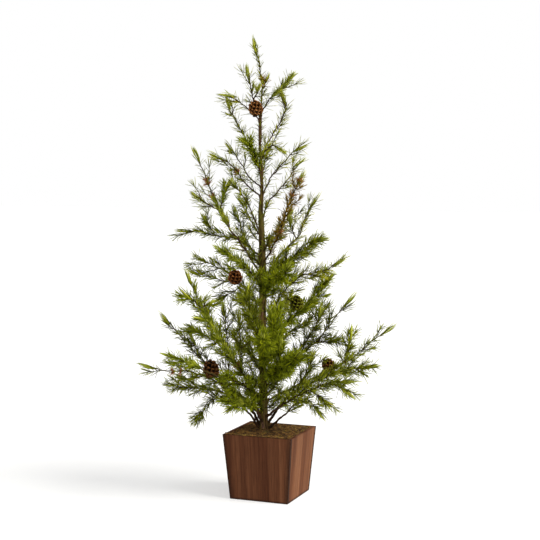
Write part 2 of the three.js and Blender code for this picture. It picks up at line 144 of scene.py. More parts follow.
class Paint:
    """A procedural material, with short ways to add the nodes that feed its shader.

    A source is a socket, or a node whose Fac or Color output is meant."""

    def __init__(self, name, roughness, specular=None):
        self.material = bpy.data.materials.new(name)
        self.material.use_nodes = True
        self.shader = self.material.node_tree.nodes["Principled BSDF"]
        self.shader.inputs["Roughness"].default_value = roughness
        if specular is not None:
            self.shader.inputs["Specular IOR Level"].default_value = specular

    def node(self, kind, **settings):
        node = self.material.node_tree.nodes.new(kind)
        for key, value in settings.items():
            setattr(node, key, value)
        return node

    def feed(self, socket, value, output="Color"):
        """Gives an input its value: a source, a number, a vector or a colour."""
        if isinstance(value, bpy.types.Node):
            value = value.outputs[output]
        if isinstance(value, bpy.types.NodeSocket):
            self.material.node_tree.links.new(value, socket)
        elif isinstance(value, tuple) and len(value) < len(socket.default_value):
            socket.default_value = (*value, 1.0)
        else:
            socket.default_value = value

    def along(self):
        """How far along its needle, wire or scale the point is, from 0 to 1."""
        return self.node("ShaderNodeAttribute", attribute_name="along").outputs["Fac"]

    def island(self):
        """A number that differs from one closed body of the mesh to the next."""
        return self.node("ShaderNodeNewGeometry").outputs["Random Per Island"]

    def place(self):
        """The point's X, Y and Z in the object's own space, in metres."""
        parts = self.node("ShaderNodeSeparateXYZ")
        self.feed(parts.inputs["Vector"], self.node("ShaderNodeTexCoord").outputs["Object"])
        return parts.outputs

    def noise(self, scale, detail=4.0, stretch=(1.0, 1.0, 1.0), distortion=0.0):
        """A noise in the object's own space, `scale` per metre, squeezed by `stretch`."""
        mapping = self.node("ShaderNodeMapping")
        self.feed(mapping.inputs["Vector"], self.node("ShaderNodeTexCoord").outputs["Object"])
        self.feed(mapping.inputs["Scale"], stretch)
        noise = self.node("ShaderNodeTexNoise")
        self.feed(noise.inputs["Vector"], mapping.outputs["Vector"])
        for key, value in (("Scale", scale), ("Detail", detail), ("Distortion", distortion)):
            self.feed(noise.inputs[key], value)
        return noise

    def ramp(self, source, stops):
        """A colour ramp through (place, colour) stops, where a number is a grey."""
        ramp = self.node("ShaderNodeValToRGB")
        elements = ramp.color_ramp.elements
        while len(elements) < len(stops):
            elements.new(0.5)
        for element, (place, colour) in zip(elements, stops):
            element.position = place
            element.color = (*colour, 1.0) if isinstance(colour, tuple) else (*[colour] * 3, 1.0)
        self.feed(ramp.inputs["Fac"], source, "Fac")
        return ramp.outputs["Color"]

    def mix(self, share, first, second, blend="MIX"):
        mix = self.node("ShaderNodeMix", data_type="RGBA", blend_type=blend)
        for slot, value in ((0, share), (6, first), (7, second)):
            self.feed(mix.inputs[slot], value)
        return mix.outputs[2]

    def multiply(self, first, *others, share=1.0):
        for other in others:
            first = self.mix(share, first, other, "MULTIPLY")
        return first

    def maths(self, operation, *values):
        node = self.node("ShaderNodeMath", operation=operation)
        for socket, value in zip(node.inputs, values):
            self.feed(socket, value, "Fac")
        return node.outputs[0]

    def span(self, source, start=0.0, end=1.0, low=0.0, high=1.0):
        """The source taken from start..end to low..high, and held beyond them."""
        node = self.node("ShaderNodeMapRange")
        ends = {"From Min": start, "From Max": end, "To Min": low, "To Max": high}
        for key, value in ends.items():
            self.feed(node.inputs[key], value)
        self.feed(node.inputs["Value"], source, "Fac")
        return node.outputs["Result"]

    def finish(self, colour, rough, bump=None):
        """Feeds the shader: roughness is (source, low, high), and a bump (source, strength, depth)."""
        self.feed(self.shader.inputs["Base Color"], colour)
        source, low, high = rough
        self.feed(self.shader.inputs["Roughness"], self.span(source, low=low, high=high))
        if bump:
            node = self.node("ShaderNodeBump")
            for key, value in zip(("Height", "Strength", "Distance"), bump):
                self.feed(node.inputs[key], value)
            self.feed(self.shader.inputs["Normal"], node.outputs["Normal"])
        return self.material


BOARD_TOP = float(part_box("board_front")[1][2])
BOARD_RIM = float(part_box("board_front")[1][0])
BOARD_HALF_FOOT = 0.048
BOARD_SLOPE = (float(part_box("board_right")[1][0]) - BOARD_HALF_FOOT) / BOARD_TOP
# Painted shade along the boards' feet and side edges, standing in for the shadow lines there: its colour,
# reach and strength.
EDGE_SHADE = (0.016, 0.006, 0.003)
EDGE_SHADE_REACH = (0.0042, 0.0006)  # from an edge: where the painted shade starts to show, and where it is full
EDGE_SHADE_MOST = 0.85


def needle_material(name, foot, body, tip):
    """Moulded needles: each one its own shade, darker at the foot and paler at the tip."""
    paint = Paint(name, 0.55, specular=0.06)
    lengthwise = paint.ramp(paint.along(), [(0.0, foot), (0.35, body), (1.0, tip)])
    shade = paint.ramp(paint.island(), [(0.0, (0.35, 0.36, 0.36)), (0.45, 0.92),
                                        (0.8, (1.25, 1.22, 1.0)), (1.0, (1.65, 1.45, 0.9))])
    patches = paint.noise(55.0, 2.0)
    drift = paint.ramp(patches, [(0.3, (0.78, 0.8, 0.8)), (0.7, (1.15, 1.12, 1.05))])
    return paint.finish(paint.multiply(lengthwise, shade, drift), (patches, 0.45, 0.70))


def bark_paint(name, streak_squeeze):
    """Paint for paper-like wrap, with its long streaks and the small scars across them."""
    paint = Paint(name, 0.85, specular=0.15)
    streaks = paint.noise(420.0, 5.0, (1.0, 1.0, streak_squeeze))
    scars = paint.noise(700.0, 3.0, (0.5, 0.5, 1.3), 0.6)
    return paint, streaks, scars


def finish_bark(paint, colour, streaks, scars, strength):
    height = paint.mix(0.4, streaks, scars)
    return paint.finish(colour, (scars, 0.7, 0.95), (height, strength, 0.0006))


def branch_material(name, dark, middle, light, tip):
    """The wrap of a branch's wires, greener towards each wire's tip."""
    paint, streaks, scars = bark_paint(name, 0.12)
    tone = paint.ramp(streaks, [(0.3, dark), (0.52, middle), (0.75, light)])
    stain = paint.ramp(paint.noise(45.0, 3.0), [(0.35, (0.65, 0.62, 0.6)), (0.65, (1.2, 1.2, 1.1))])
    greener = paint.ramp(paint.along(), [(0.35, 0.0), (1.0, 0.85)])
    colour = paint.mix(greener, paint.multiply(tone, stain), tip)
    return finish_bark(paint, colour, streaks, scars, 0.5)


def trunk_material(name):
    """Wrapped stems: olive, brown and red-brown by stem, darker brown where the trunk is thin."""
    paint, streaks, scars = bark_paint(name, 0.10)
    stems = paint.ramp(paint.island(), [
        (0.0, (0.080, 0.042, 0.014)), (0.22, (0.120, 0.095, 0.012)), (0.45, (0.190, 0.115, 0.050)),
        (0.62, (0.105, 0.088, 0.010)), (0.80, (0.048, 0.024, 0.010)), (1.0, (0.150, 0.110, 0.030))])
    mossy = paint.ramp(paint.noise(22.0, 2.0, (1.0, 1.0, 0.5)), [(0.46, 0.0), (0.60, 0.70)])
    tinted = paint.mix(mossy, stems, (0.120, 0.115, 0.010))
    tone = paint.ramp(streaks, [(0.36, (0.22, 0.20, 0.18)), (0.52, 1.0), (0.70, (1.5, 1.45, 1.4))])
    height = paint.place()["Z"]
    # Pale brown at the foot, much paler over one stretch as a painted pool of light, and dark brown higher
    # up.
    by_height = paint.ramp(height, [
        (0.110, (1.35, 1.12, 1.9)), (0.150, (1.0, 0.95, 1.0)), (0.262, 1.0),
        (0.285, (2.2, 1.65, 3.4)), (0.315, (2.1, 1.6, 3.2)), (0.335, (0.85, 0.70, 0.9)),
        (0.440, (0.80, 0.75, 0.9))])
    placed = paint.multiply(tinted, tone, by_height)
    thin = paint.span(height, 0.44, 0.50, 0.0, 0.80)
    return finish_bark(paint, paint.mix(thin, placed, (0.075, 0.036, 0.012)), streaks, scars, 0.7)


def wood_material(name, across, dark, light, sides_shaded):
    """A red-brown stained board. The grain runs up it, and `across` is the axis along its width."""
    paint = Paint(name, 0.55, specular=0.06)
    squeeze = (float(across == "X"), float(across == "Y"))
    bands = paint.noise(150.0, 3.0, (*squeeze, 0.02), 0.2)
    grain = paint.noise(620.0, 6.0, (*squeeze, 0.03), 0.4)
    pores = paint.noise(1700.0, 3.0, (*squeeze, 0.025))
    middle = tuple(0.5 * (a + b) for a, b in zip(dark, light))
    planks = paint.ramp(paint.noise(34.0, 1.0, (*squeeze, 0.01)),
                        [(0.40, dark), (0.50, middle), (0.60, light)])
    band = paint.ramp(bands, [(0.34, (0.74, 0.66, 0.62)), (0.50, 1.0), (0.66, (1.20, 1.24, 1.28))])
    lines = paint.ramp(grain, [(0.32, (0.66, 0.62, 0.60)), (0.50, 1.0), (0.70, 1.22)])
    dots = paint.ramp(pores, [(0.36, (0.50, 0.45, 0.42)), (0.46, 1.0)])
    streaked = paint.multiply(paint.multiply(planks, band), lines, share=0.85)
    colour = paint.multiply(streaked, dots, share=0.5)
    # Painted shade: the board darkens towards its foot and, for boards with shaded sides, towards its
    # sides.
    colour = paint.mix(edge_shade_share(paint, across if sides_shaded else None), colour, EDGE_SHADE)
    return paint.finish(colour, (grain, 0.5, 0.75), (paint.mix(0.5, grain, pores), 0.3, 0.0004))


def edge_shade_share(paint, across):
    """How strongly the painted edge shade shows: full at a board's foot and, with `across`, its sides,
    standing in for the shadow lines there.
    """
    place = paint.place()
    nearest = place["Z"]
    if across:
        half_width = paint.maths("MULTIPLY_ADD", place["Z"], BOARD_SLOPE, BOARD_HALF_FOOT)
        aside = paint.maths("SUBTRACT", half_width, paint.maths("ABSOLUTE", place[across]))
        # The painted shade is spread over a wider strip at the sides than at the foot, but is never quite
        # as dark there.
        faint_aside = paint.maths("MULTIPLY_ADD", aside, 0.42, 0.0006)
        nearest = paint.maths("MINIMUM", faint_aside, place["Z"])
    centred = paint.maths("SUBTRACT", nearest, 0.0008)
    ragged = paint.maths("MULTIPLY_ADD", paint.noise(260.0, 3.0), 0.0016, centred)
    return paint.span(ragged, *EDGE_SHADE_REACH, 0.0, EDGE_SHADE_MOST)


def moss_material(name, dark, middle, light):
    """Dry fibre: each strand its own shade, over clumps."""
    paint = Paint(name, 0.95)
    shade = paint.ramp(paint.island(), [(0.0, (0.30, 0.28, 0.26)), (0.5, 0.9), (1.0, (1.9, 1.75, 1.4))])
    fibres = paint.noise(900.0, 4.0, distortion=1.5)
    tone = paint.ramp(paint.noise(130.0, 6.0), [(0.32, dark), (0.52, middle), (0.7, light)])
    speck = paint.ramp(fibres, [(0.35, 0.5), (0.65, (1.35, 1.3, 1.2))])
    colour = paint.multiply(tone, speck, shade)
    return paint.finish(colour, (fibres, 0.85, 1.0), (fibres, 0.8, 0.0012))


def cone_material(name, tint):
    """Dry scales: dark in the folds as painted shade, red-brown on the faces, worn pale at the rims."""
    paint = Paint(name, 0.8, specular=0.06)
    # Near black at each scale's foot, down in the folds: painted shade.
    rim = paint.ramp(paint.along(), [
        (0.0, (0.006, 0.003, 0.001)), (0.55, (0.035, 0.013, 0.004)),
        (0.80, (0.11, 0.042, 0.012)), (0.92, (0.30, 0.150, 0.050)), (1.0, (0.20, 0.090, 0.028))])
    fibres = paint.noise(600.0, 4.0)
    patches = paint.noise(120.0, 2.0)
    speck = paint.ramp(fibres, [(0.3, 0.6), (0.7, (1.3, 1.25, 1.2))])
    stain = paint.ramp(patches, [(0.35, (0.7, 0.66, 0.62)), (0.65, (1.2, 1.15, 1.1))])
    colour = paint.multiply(rim, speck, tint, stain)
    return paint.finish(colour, (patches, 0.75, 0.95), (fibres, 0.5, 0.0006))


def plaster_material(name):
    paint = Paint(name, 0.95)
    lumps = paint.noise(160.0, 6.0)
    tone = paint.ramp(lumps, [(0.3, (0.42, 0.40, 0.36)), (0.7, (0.68, 0.66, 0.6))])
    return paint.finish(tone, (lumps, 0.85, 1.0), (lumps, 0.4, 0.001))


def steel_material(name):
    paint = Paint(name, 0.35)
    paint.shader.inputs["Metallic"].default_value = 1.0
    lines = paint.noise(900.0, 3.0, (1.0, 1.0, 0.03))
    tone = paint.ramp(lines, [(0.3, (0.42, 0.42, 0.43)), (0.7, (0.62, 0.62, 0.63))])
    return paint.finish(tone, (lines, 0.25, 0.5), (lines, 0.15, 0.0002))


# ---------------------------------------------------------------- shape helpers


def unit(vectors):
    return vectors / np.linalg.norm(vectors, axis=-1, keepdims=True)


def turn_about(vector, axis, angle):
    """The vector, or row of vectors, turned about a unit axis by the right-hand rule."""
    c, s = math.cos(angle), math.sin(angle)
    return vector * c + np.cross(axis, vector) * s + axis * np.dot(vector, axis) * (1.0 - c)


def smooth_path(points, step):
    """Points about `step` apart on a smooth curve through `points`."""
    points = [np.array(p, float) for p in points]
    points = [2 * points[0] - points[1], *points, 2 * points[-1] - points[-2]]
    line = []
    for before, start, end, after in zip(points, points[1:], points[2:], points[3:]):
        count = max(2, round(float(np.linalg.norm(end - start)) / step))
        for t in np.arange(count) / count:
            line.append(0.5 * (2 * start + (end - before) * t
                               + (2 * before - 5 * start + 4 * end - after) * t * t
                               + (3 * start - before - 3 * end + after) * t ** 3))
    return np.array([*line, points[-2]])


def path_lengths(path):
    """Distance along the path to each of its points."""
    return np.concatenate([[0.0], np.cumsum(np.linalg.norm(np.diff(path, axis=0), axis=1))])


def path_frames(path):
    """Unit tangents with two unit vectors across them that don't twist."""
    tangents = unit(np.gradient(path, axis=0))
    sides = np.empty_like(path)
    first = np.cross(tangents[0], UP if abs(tangents[0][2]) < 0.9 else np.array([1.0, 0.0, 0.0]))
    for i, tangent in enumerate(tangents):
        first = first - tangent * np.dot(first, tangent)
        first = first / np.linalg.norm(first)
        sides[i] = first
    return tangents, sides, np.cross(tangents, sides)


def grid_rim(rows, columns):
    """The places round the edge of a grid of points that is numbered row by row."""
    last = rows * columns - 1
    return [*range(columns), *range(2 * columns - 1, last + 1, columns),
            *range(last - 1, last - columns, -1), *range(last + 1 - 2 * columns, 0, -columns)]


class Shape:
    """Gathers closed bodies into one mesh, with a value `along` from 0 to 1 at each point."""

    def __init__(self):
        self.points = []
        self.faces = []
        self.along = []
        self.count = 0

    def add(self, points, faces, along):
        self.points.append(np.asarray(points, float).reshape(-1, 3))
        for face in faces:
            self.faces.append([index + self.count for index in face])
        self.along.append(np.broadcast_to(np.asarray(along, float), (len(self.points[-1]),)))
        self.count += len(self.points[-1])

    def add_rings(self, rings, along):
        """A closed body through rings of equal point count, with flat ends."""
        rows, sides = len(rings), len(rings[0])
        faces = []
        for i in range(rows - 1):
            for k in range(sides):
                a, b = i * sides + k, i * sides + (k + 1) % sides
                faces.append([a, b, b + sides, a + sides])
        faces.append(list(range(sides))[::-1])
        faces.append([(rows - 1) * sides + k for k in range(sides)])
        self.add(np.concatenate(rings), faces, np.repeat(np.broadcast_to(along, (rows,)), sides))

    def add_tube(self, path, radii, sides, wobble=None):
        """A tube along a path. `wobble` gives a factor for the radius at each ring and side."""
        _, side, up = path_frames(path)
        angle = 2 * math.pi * np.arange(sides) / sides
        factor = np.ones((len(path), sides)) if wobble is None else wobble
        reach = np.asarray(radii)[:, None] * factor
        rings = (path[:, None] + side[:, None] * (reach * np.cos(angle))[..., None]
                 + up[:, None] * (reach * np.sin(angle))[..., None])
        self.add_rings(list(rings), np.linspace(0.0, 1.0, len(path)))

    def to_piece(self, name, material, body, slot, instead_of=None):
        """Makes the mesh a piece that rides on a body and, where one is named, replaces a CAD node."""
        mesh = bpy.data.meshes.new(name)
        mesh.from_pydata(np.concatenate(self.points).tolist(), [], self.faces)
        mesh.materials.append(material)
        values = mesh.attributes.new("along", "FLOAT", "POINT")
        values.data.foreach_set("value", np.concatenate(self.along).astype(np.float32))
        mesh.polygons.foreach_set("use_smooth", [True] * len(mesh.polygons))
        mesh.update()
        piece = bpy.data.objects.new(name, mesh)
        bpy.context.scene.collection.objects.link(piece)
        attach(piece, body)
        if instead_of:
            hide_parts(instead_of)


# ---------------------------------------------------------------- needles

# Each ring of a needle: how far along it is, and its share of the full width.
NEEDLE = ((0.0, 0.6), (0.4, 1.0), (0.8, 0.85))
BLADE = ((0.0, 0.5), (0.25, 0.85), (0.5, 1.0), (0.75, 0.85), (0.9, 0.5))  # the longer needle of new growth

FRONT = turn_about(np.array([0.0, -1.0, 0.0]), UP, TREE_TURN)
PARTING = 0.050  # how far in front of a cone the needles are parted
# The cones that stand clear of the needles. The fifth sits among them.
CONES_IN_VIEW = ("cone_top", "cone_middle_left", "cone_low_left", "cone_middle_right")


def cone_spaces():
    """The centre and the radius of the space to keep clear at each cone."""
    spaces = []
    for name in CONES_IN_VIEW:
        low, high = (np.array(corner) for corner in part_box(name))
        spaces.append((0.5 * (low + high), 0.27 * (high[0] - low[0] + high[1] - low[1])))
    return spaces


CONE_SPACES = cone_spaces()


def clear_of_cones(points):
    """Which points lie outside the space in front of each cone, where the needles are parted."""
    clear = np.ones(len(points), bool)
    for centre, radius in CONE_SPACES:
        ahead = np.clip((points - centre) @ FRONT, 0.0, PARTING)
        clear &= np.linalg.norm(points - centre - ahead[:, None] * FRONT, axis=1) > radius
    return clear


def needle_faces(rows):
    """Faces of one closed three-sided needle with `rows` rings and a point."""
    faces = [[0, 2, 1]]
    faces += [[3 * row + k, 3 * row + (k + 1) % 3, 3 * row + 3 + (k + 1) % 3, 3 * row + 3 + k]
              for row in range(rows - 1) for k in range(3)]
    return faces + [[3 * rows - 3 + k, 3 * rows - 3 + (k + 1) % 3, 3 * rows] for k in range(3)]


def add_needles(shape, base, heading, bend, length, width, curl, rings=NEEDLE):
    """Slim closed needles from `base` along `heading`, each curling towards `bend`."""
    shown = clear_of_cones(base) & clear_of_cones(base + heading * length[:, None])
    base, heading, bend = base[shown], heading[shown], bend[shown]
    length, width, curl = length[shown], width[shown], curl[shown]
    count = len(base)
    if not count:
        return
    side = np.cross(bend, heading)
    size = 3 * len(rings) + 1
    points = np.empty((count, size, 3))
    along = np.empty((count, size))
    for row, (place, share) in enumerate(rings):
        centre = base + heading * (length * place)[:, None] + bend * (length * curl * place ** 2)[:, None]
        for k in range(3):
            angle = 2 * math.pi * k / 3
            across = side * math.cos(angle) + 0.7 * bend * math.sin(angle)
            points[:, 3 * row + k] = centre + across * (0.5 * share * width)[:, None]
        along[:, 3 * row:3 * row + 3] = place
    points[:, -1] = base + heading * length[:, None] + bend * (length * curl)[:, None]
    along[:, -1] = 1.0
    faces = needle_faces(len(rings))
    flat = [[index + start for index in face] for start in range(0, count * size, size) for face in faces]
    shape.add(points.reshape(-1, 3), flat, along.reshape(-1))


def rolled(random, count, jitter):
    """Turns round a wire by the golden angle, each a little off."""
    return GOLDEN_ANGLE * np.arange(count) + random.uniform(-jitter, jitter, count)


def splayed(tangent, side, up, roll, spread):
    """Headings that lean from the tangent by `spread`, and the way in which each curls back."""
    radial = side * np.cos(roll)[:, None] + up * np.sin(roll)[:, None]
    out = np.sin(spread)[:, None]
    onward = np.cos(spread)[:, None]
    return tangent * onward + radial * out, tangent * out - radial * onward


def needles_along(shape, path, random, start, end, step, cluster, spread_deg, length, width):
    """Clusters of needles round a path, between two distances along it, swept towards its end."""
    lengths = path_lengths(path)
    stations = np.arange(start, min(end, lengths[-1]), step)
    if not len(stations):
        return
    places = np.repeat(stations, cluster) + random.uniform(-0.45, 0.45, len(stations) * cluster) * step
    places = np.clip(places, 0.0, lengths[-1])
    count = len(places)
    base = np.stack([np.interp(places, lengths, path[:, i]) for i in range(3)], axis=1)
    nearest = np.clip(np.searchsorted(lengths, places), 0, len(path) - 1)
    roll = rolled(random, count, 0.5)
    spread = np.radians(random.normal(spread_deg, 10.0, count).clip(6.0, 88.0))
    heading, bend = splayed(*(axis[nearest] for axis in path_frames(path)), roll, spread)
    size = length * random.uniform(0.62, 1.12, count)
    add_needles(shape, base, heading, bend, size, width * random.uniform(0.8, 1.15, count),
                random.normal(0.04, 0.07, count))


def tip_frame(path):
    tangent = unit(path[-1] - path[-2])
    side = unit(np.cross(tangent, UP + 0.01))
    return tangent, side, np.cross(tangent, side)


def closed_tuft(shape, path, random, count, length, width, open_deg=27.0):
    """New growth at a tip: a slim brush whose long needles bow out and close again."""
    axes = tip_frame(path)
    roll = rolled(random, count, 0.4)
    spread = np.radians(random.uniform(0.35, 1.0, count) * open_deg)
    heading, bend = splayed(*axes, roll, spread)
    base = path[-1] - axes[0] * random.uniform(0.75, 1.0, count)[:, None] * length
    add_needles(shape, base, heading, bend, length * random.uniform(0.8, 1.08, count),
                width * random.uniform(0.85, 1.15, count),
                np.tan(spread) * random.uniform(0.6, 1.05, count), BLADE)


def open_tip(shape, path, random, count, length, width):
    """A star of needles round the end of a shoot."""
    axes = tip_frame(path)
    roll = rolled(random, count, 0.5)
    spread = np.radians(random.uniform(6.0, 48.0, count))
    heading, bend = splayed(*axes, roll, spread)
    base = path[-1] - axes[0] * random.uniform(0.0, 0.25, count)[:, None] * length
    add_needles(shape, base, heading, bend, length * random.uniform(0.7, 1.1, count),
                width * random.uniform(0.85, 1.15, count), random.uniform(0.0, 0.2, count))


def star(shape, path, share, random, count, length, width):
    """A star of needles that all start from one place on a wire."""
    i = int(round(share * (len(path) - 1)))
    axes = [axis[i] for axis in path_frames(path)]
    roll = rolled(random, count, 0.5)
    spread = np.radians(random.uniform(25.0, 80.0, count))
    heading, bend = splayed(*axes, roll, spread)
    base = path[i] + axes[0] * random.uniform(-0.0012, 0.0012, count)[:, None]
    add_needles(shape, base, heading, bend, length * random.uniform(0.65, 1.15, count),
                width * random.uniform(0.85, 1.15, count), random.normal(0.03, 0.07, count))


# ---------------------------------------------------------------- the tree's wires

# The points that each branch's wire passes after its root, tip last: x to the tree's right,
# y to its back, z up, in millimetres, before the tree is turned in its planter.
BRANCHES = {
    "leader": [(-13, 0, 646), (-15, 2, 660), (-17, 0, 676), (-25, -2, 711)],
    "top_left_upright": [(-26, -4, 618), (-29, -6, 636), (-35, -6, 668)],
    "top_right": [(0, -14, 619), (17, -24, 634), (36, -34, 656)],
    "top_left": [(-35, -10, 606), (-47, -14, 614), (-60, -16, 622), (-75, -20, 625)],
    "upper_right_hook": [(0, 8, 559), (14, 12, 582), (23, 14, 600), (25, 14, 613), (17, 12, 631)],
    "upper_left_hook": [(-34, 10, 552), (-47, 18, 576), (-55, 20, 591), (-64, 22, 607), (-67, 22, 622)],
    "upper_left_front": [(-24, -22, 534), (-33, -34, 549), (-48, -44, 559)],
    "upper_right_front": [(-6, -24, 541), (5, -42, 547), (21, -62, 538)],
    "upper_left_dark": [(-31, 14, 498), (-47, 26, 523), (-58, 30, 539), (-69, 34, 553)],
    "upper_left": [(-37, -14, 489), (-49, -24, 506), (-62, -30, 521), (-91, -36, 535)],
    "upper_right": [(2, -14, 500), (20, -24, 521), (37, -28, 540), (56, -30, 549)],
    "upper_right_long": [(-3, 16, 459), (14, 30, 479), (30, 40, 498), (41, 44, 515), (55, 48, 529)],
    "upper_back": [(-9, 30, 517), (-6, 52, 536), (0, 66, 552)],
    "middle_left_front": [(-31, -16, 452), (-41, -28, 471), (-53, -36, 485), (-62, -44, 496)],
    "middle_left_long":
        [(-36, -10, 384), (-49, -16, 403), (-65, -20, 425), (-77, -20, 449), (-88, -18, 471),
         (-95, -16, 488), (-101, -14, 505), (-109, -12, 524), (-118, -10, 544)],
    "middle_left": [(-52, 14, 403), (-85, 24, 407), (-112, 28, 415), (-147, 32, 415)],
    "middle_left_back": [(-35, 30, 381), (-43, 46, 399), (-46, 54, 418), (-54, 60, 439), (-59, 64, 453)],
    "middle_right_russet":
        [(9, -22, 402), (17, -30, 422), (24, -34, 445), (30, -34, 462), (38, -32, 482), (52, -30, 506)],
    "middle_right_long":
        [(20, 12, 383), (41, 20, 403), (49, 22, 415), (53, 24, 431), (61, 24, 446), (75, 24, 471)],
    "middle_right": [(12, -20, 354), (31, -30, 375), (49, -36, 386), (66, -40, 400), (88, -44, 408)],
    "middle_left_low": [(-33, -46, 359), (-56, -66, 379), (-83, -84, 397)],
    "middle_front": [(3, -52, 344), (21, -84, 356), (30, -104, 373)],
    "middle_left_flat": [(-44, 22, 330), (-68, 34, 349), (-95, 40, 362), (-122, 44, 374)],
    "middle_back_left": [(-29, 40, 428), (-42, 72, 449), (-52, 92, 468)],
    "middle_back_right": [(10, 44, 406), (26, 84, 426), (36, 104, 448)],
    "low_left_long":
        [(-25, -15, 150), (-31, -28, 182), (-46, -50, 206), (-68, -70, 244), (-87, -74, 277),
         (-102, -70, 304), (-116, -62, 332), (-127, -56, 357)],
    "low_left_rising":
        [(-30, 5, 134), (-69, 10, 177), (-111, 22, 214), (-138, 26, 243), (-155, 28, 264),
         (-173, 30, 283)],
    "low_left_reach":
        [(-59, -26, 171), (-100, -36, 194), (-132, -40, 203), (-157, -42, 203), (-198, -44, 214)],
    "low_left_front": [(-44, -68, 188), (-84, -94, 206), (-116, -104, 223), (-157, -108, 239)],
    "low_left_back": [(-71, 50, 152), (-117, 70, 157), (-147, 78, 158), (-173, 84, 163)],
    "low_left_droop":
        [(-38, -10, 137), (-65, -22, 154), (-91, -28, 156), (-104, -32, 139), (-122, -34, 119)],
    "low_front_left": [(-25, -40, 149), (-43, -66, 158), (-66, -92, 151)],
    "low_front": [(-6, -60, 238), (-9, -100, 256), (-12, -126, 271)],
    "low_front_right": [(17, -56, 212), (33, -92, 225), (44, -118, 244)],
    "right_high": [(22, -8, 322), (48, -14, 347), (77, -18, 354), (97, -20, 363), (115, -22, 376)],
    "right_rising": [(22, 20, 265), (51, 36, 289), (73, 44, 310), (88, 48, 329), (101, 52, 346)],
    "right_slant": [(31, -22, 214), (71, -34, 247), (92, -38, 274), (110, -40, 300), (128, -42, 320)],
    "right_long": [(41, 14, 170), (95, 22, 193), (133, 26, 215), (162, 28, 240), (195, 30, 264)],
    "right_flat":
        [(17, -12, 146), (40, -30, 170), (84, -50, 195), (114, -58, 207), (140, -62, 211),
         (164, -66, 215)],
    "right_low": [(31, -56, 161), (60, -78, 180), (90, -90, 193), (124, -100, 197)],
    "right_droop": [(19, -16, 127), (50, -24, 156), (67, -28, 148), (84, -32, 127)],
    "back_high_left": [(-26, 40, 262), (-41, 80, 287), (-53, 112, 310)],
    "back_high_right": [(10, 60, 270), (30, 110, 290), (37, 142, 310)],
    "back_low_left": [(-32, 70, 210), (-53, 124, 225), (-64, 158, 241)],
    "back_low_right": [(13, 76, 173), (37, 130, 184), (51, 162, 193)],
    "back_right": [(32, 50, 252), (68, 80, 270), (98, 100, 291)],
}

# Side wires that fork off a branch: the number of the branch's point that each leaves (-1 is the
# root), and the points that it passes.
FORKS = {
    "leader": [(-1, [(-8, -4, 642), (-2, -8, 656)])],
    "top_left_upright": [(0, [(-20, -10, 628), (-15, -14, 642)])],
    "middle_left_long": [
        (3, [(-94, -22, 457), (-110, -24, 468), (-121, -24, 477)]),
        (3, [(-72, -26, 468), (-66, -30, 482), (-59, -32, 496)]),
    ],
    "middle_left": [(1, [(-96, 28, 423), (-107, 30, 441)])],
    "middle_left_flat": [
        (0, [(-66, 28, 334), (-95, 32, 342), (-119, 36, 348), (-130, 38, 352)]),
        (0, [(-58, 12, 320), (-74, 6, 312), (-88, 2, 305)]),
    ],
    "low_left_long": [
        (2, [(-44, -44, 233), (-46, -40, 260), (-49, -38, 297)]),
        (3, [(-93, -56, 256), (-113, -50, 265), (-130, -46, 270)]),
        (4, [(-100, -84, 289), (-113, -90, 292)]),
        (5, [(-116, -76, 316), (-132, -80, 332)]),
        (5, [(-93, -80, 311), (-82, -84, 316)]),
    ],
    "low_left_rising": [
        (1, [(-63, -2, 214), (-66, -6, 245), (-70, -8, 275), (-73, -8, 304)]),
        (2, [(-117, 14, 232), (-126, 8, 254)]),
    ],
    "low_left_back": [(1, [(-134, 66, 172), (-152, 62, 180)])],
    "low_front": [
        (0, [(-20, -62, 266), (-29, -62, 295), (-35, -60, 319), (-32, -58, 339)]),
        (0, [(4, -68, 262), (9, -66, 287), (7, -62, 308)]),
    ],
    "low_front_right": [(0, [(15, -72, 236), (18, -84, 257)])],
    "right_slant": [
        (0, [(49, -36, 241), (64, -46, 264), (73, -50, 284), (78, -52, 305)]),
        (1, [(90, -40, 248), (113, -42, 254)]),
    ],
    "right_flat": [
        (1, [(52, -42, 195), (61, -50, 215), (67, -54, 236)]),
        (3, [(116, -52, 226), (121, -48, 249), (125, -46, 272)]),
    ],
    "right_low": [
        (1, [(76, -84, 170), (94, -86, 158)]),
        (2, [(108, -98, 186), (123, -102, 174)]),
    ],
    "middle_right_long": [(1, [(34, 14, 419), (31, 10, 439)])],
}
TWIG_SPREAD = math.radians(38.0)
TWIG_SPACING = 0.042
BUD_LENGTH = 0.022
STEM_FOOT_TOP = 0.136  # stems that start lower than this are stouter at their foot
STEM_FOOT_EXTRA = 0.0008
STEM_FOOT_BARE = 0.046  # and bare for this far
FORK_WITH_TWIGS = 0.040  # the least length of a side wire that has twigs of its own
# The record's slot for each kind of piece on a branch. The rest are plain needles.
SLOTS = {"branch_wrap": "wrapped_bark", "bright": "new_growth", "growth": "new_growth",
         "russet": "russet_needles", "buds": "russet_needles"}

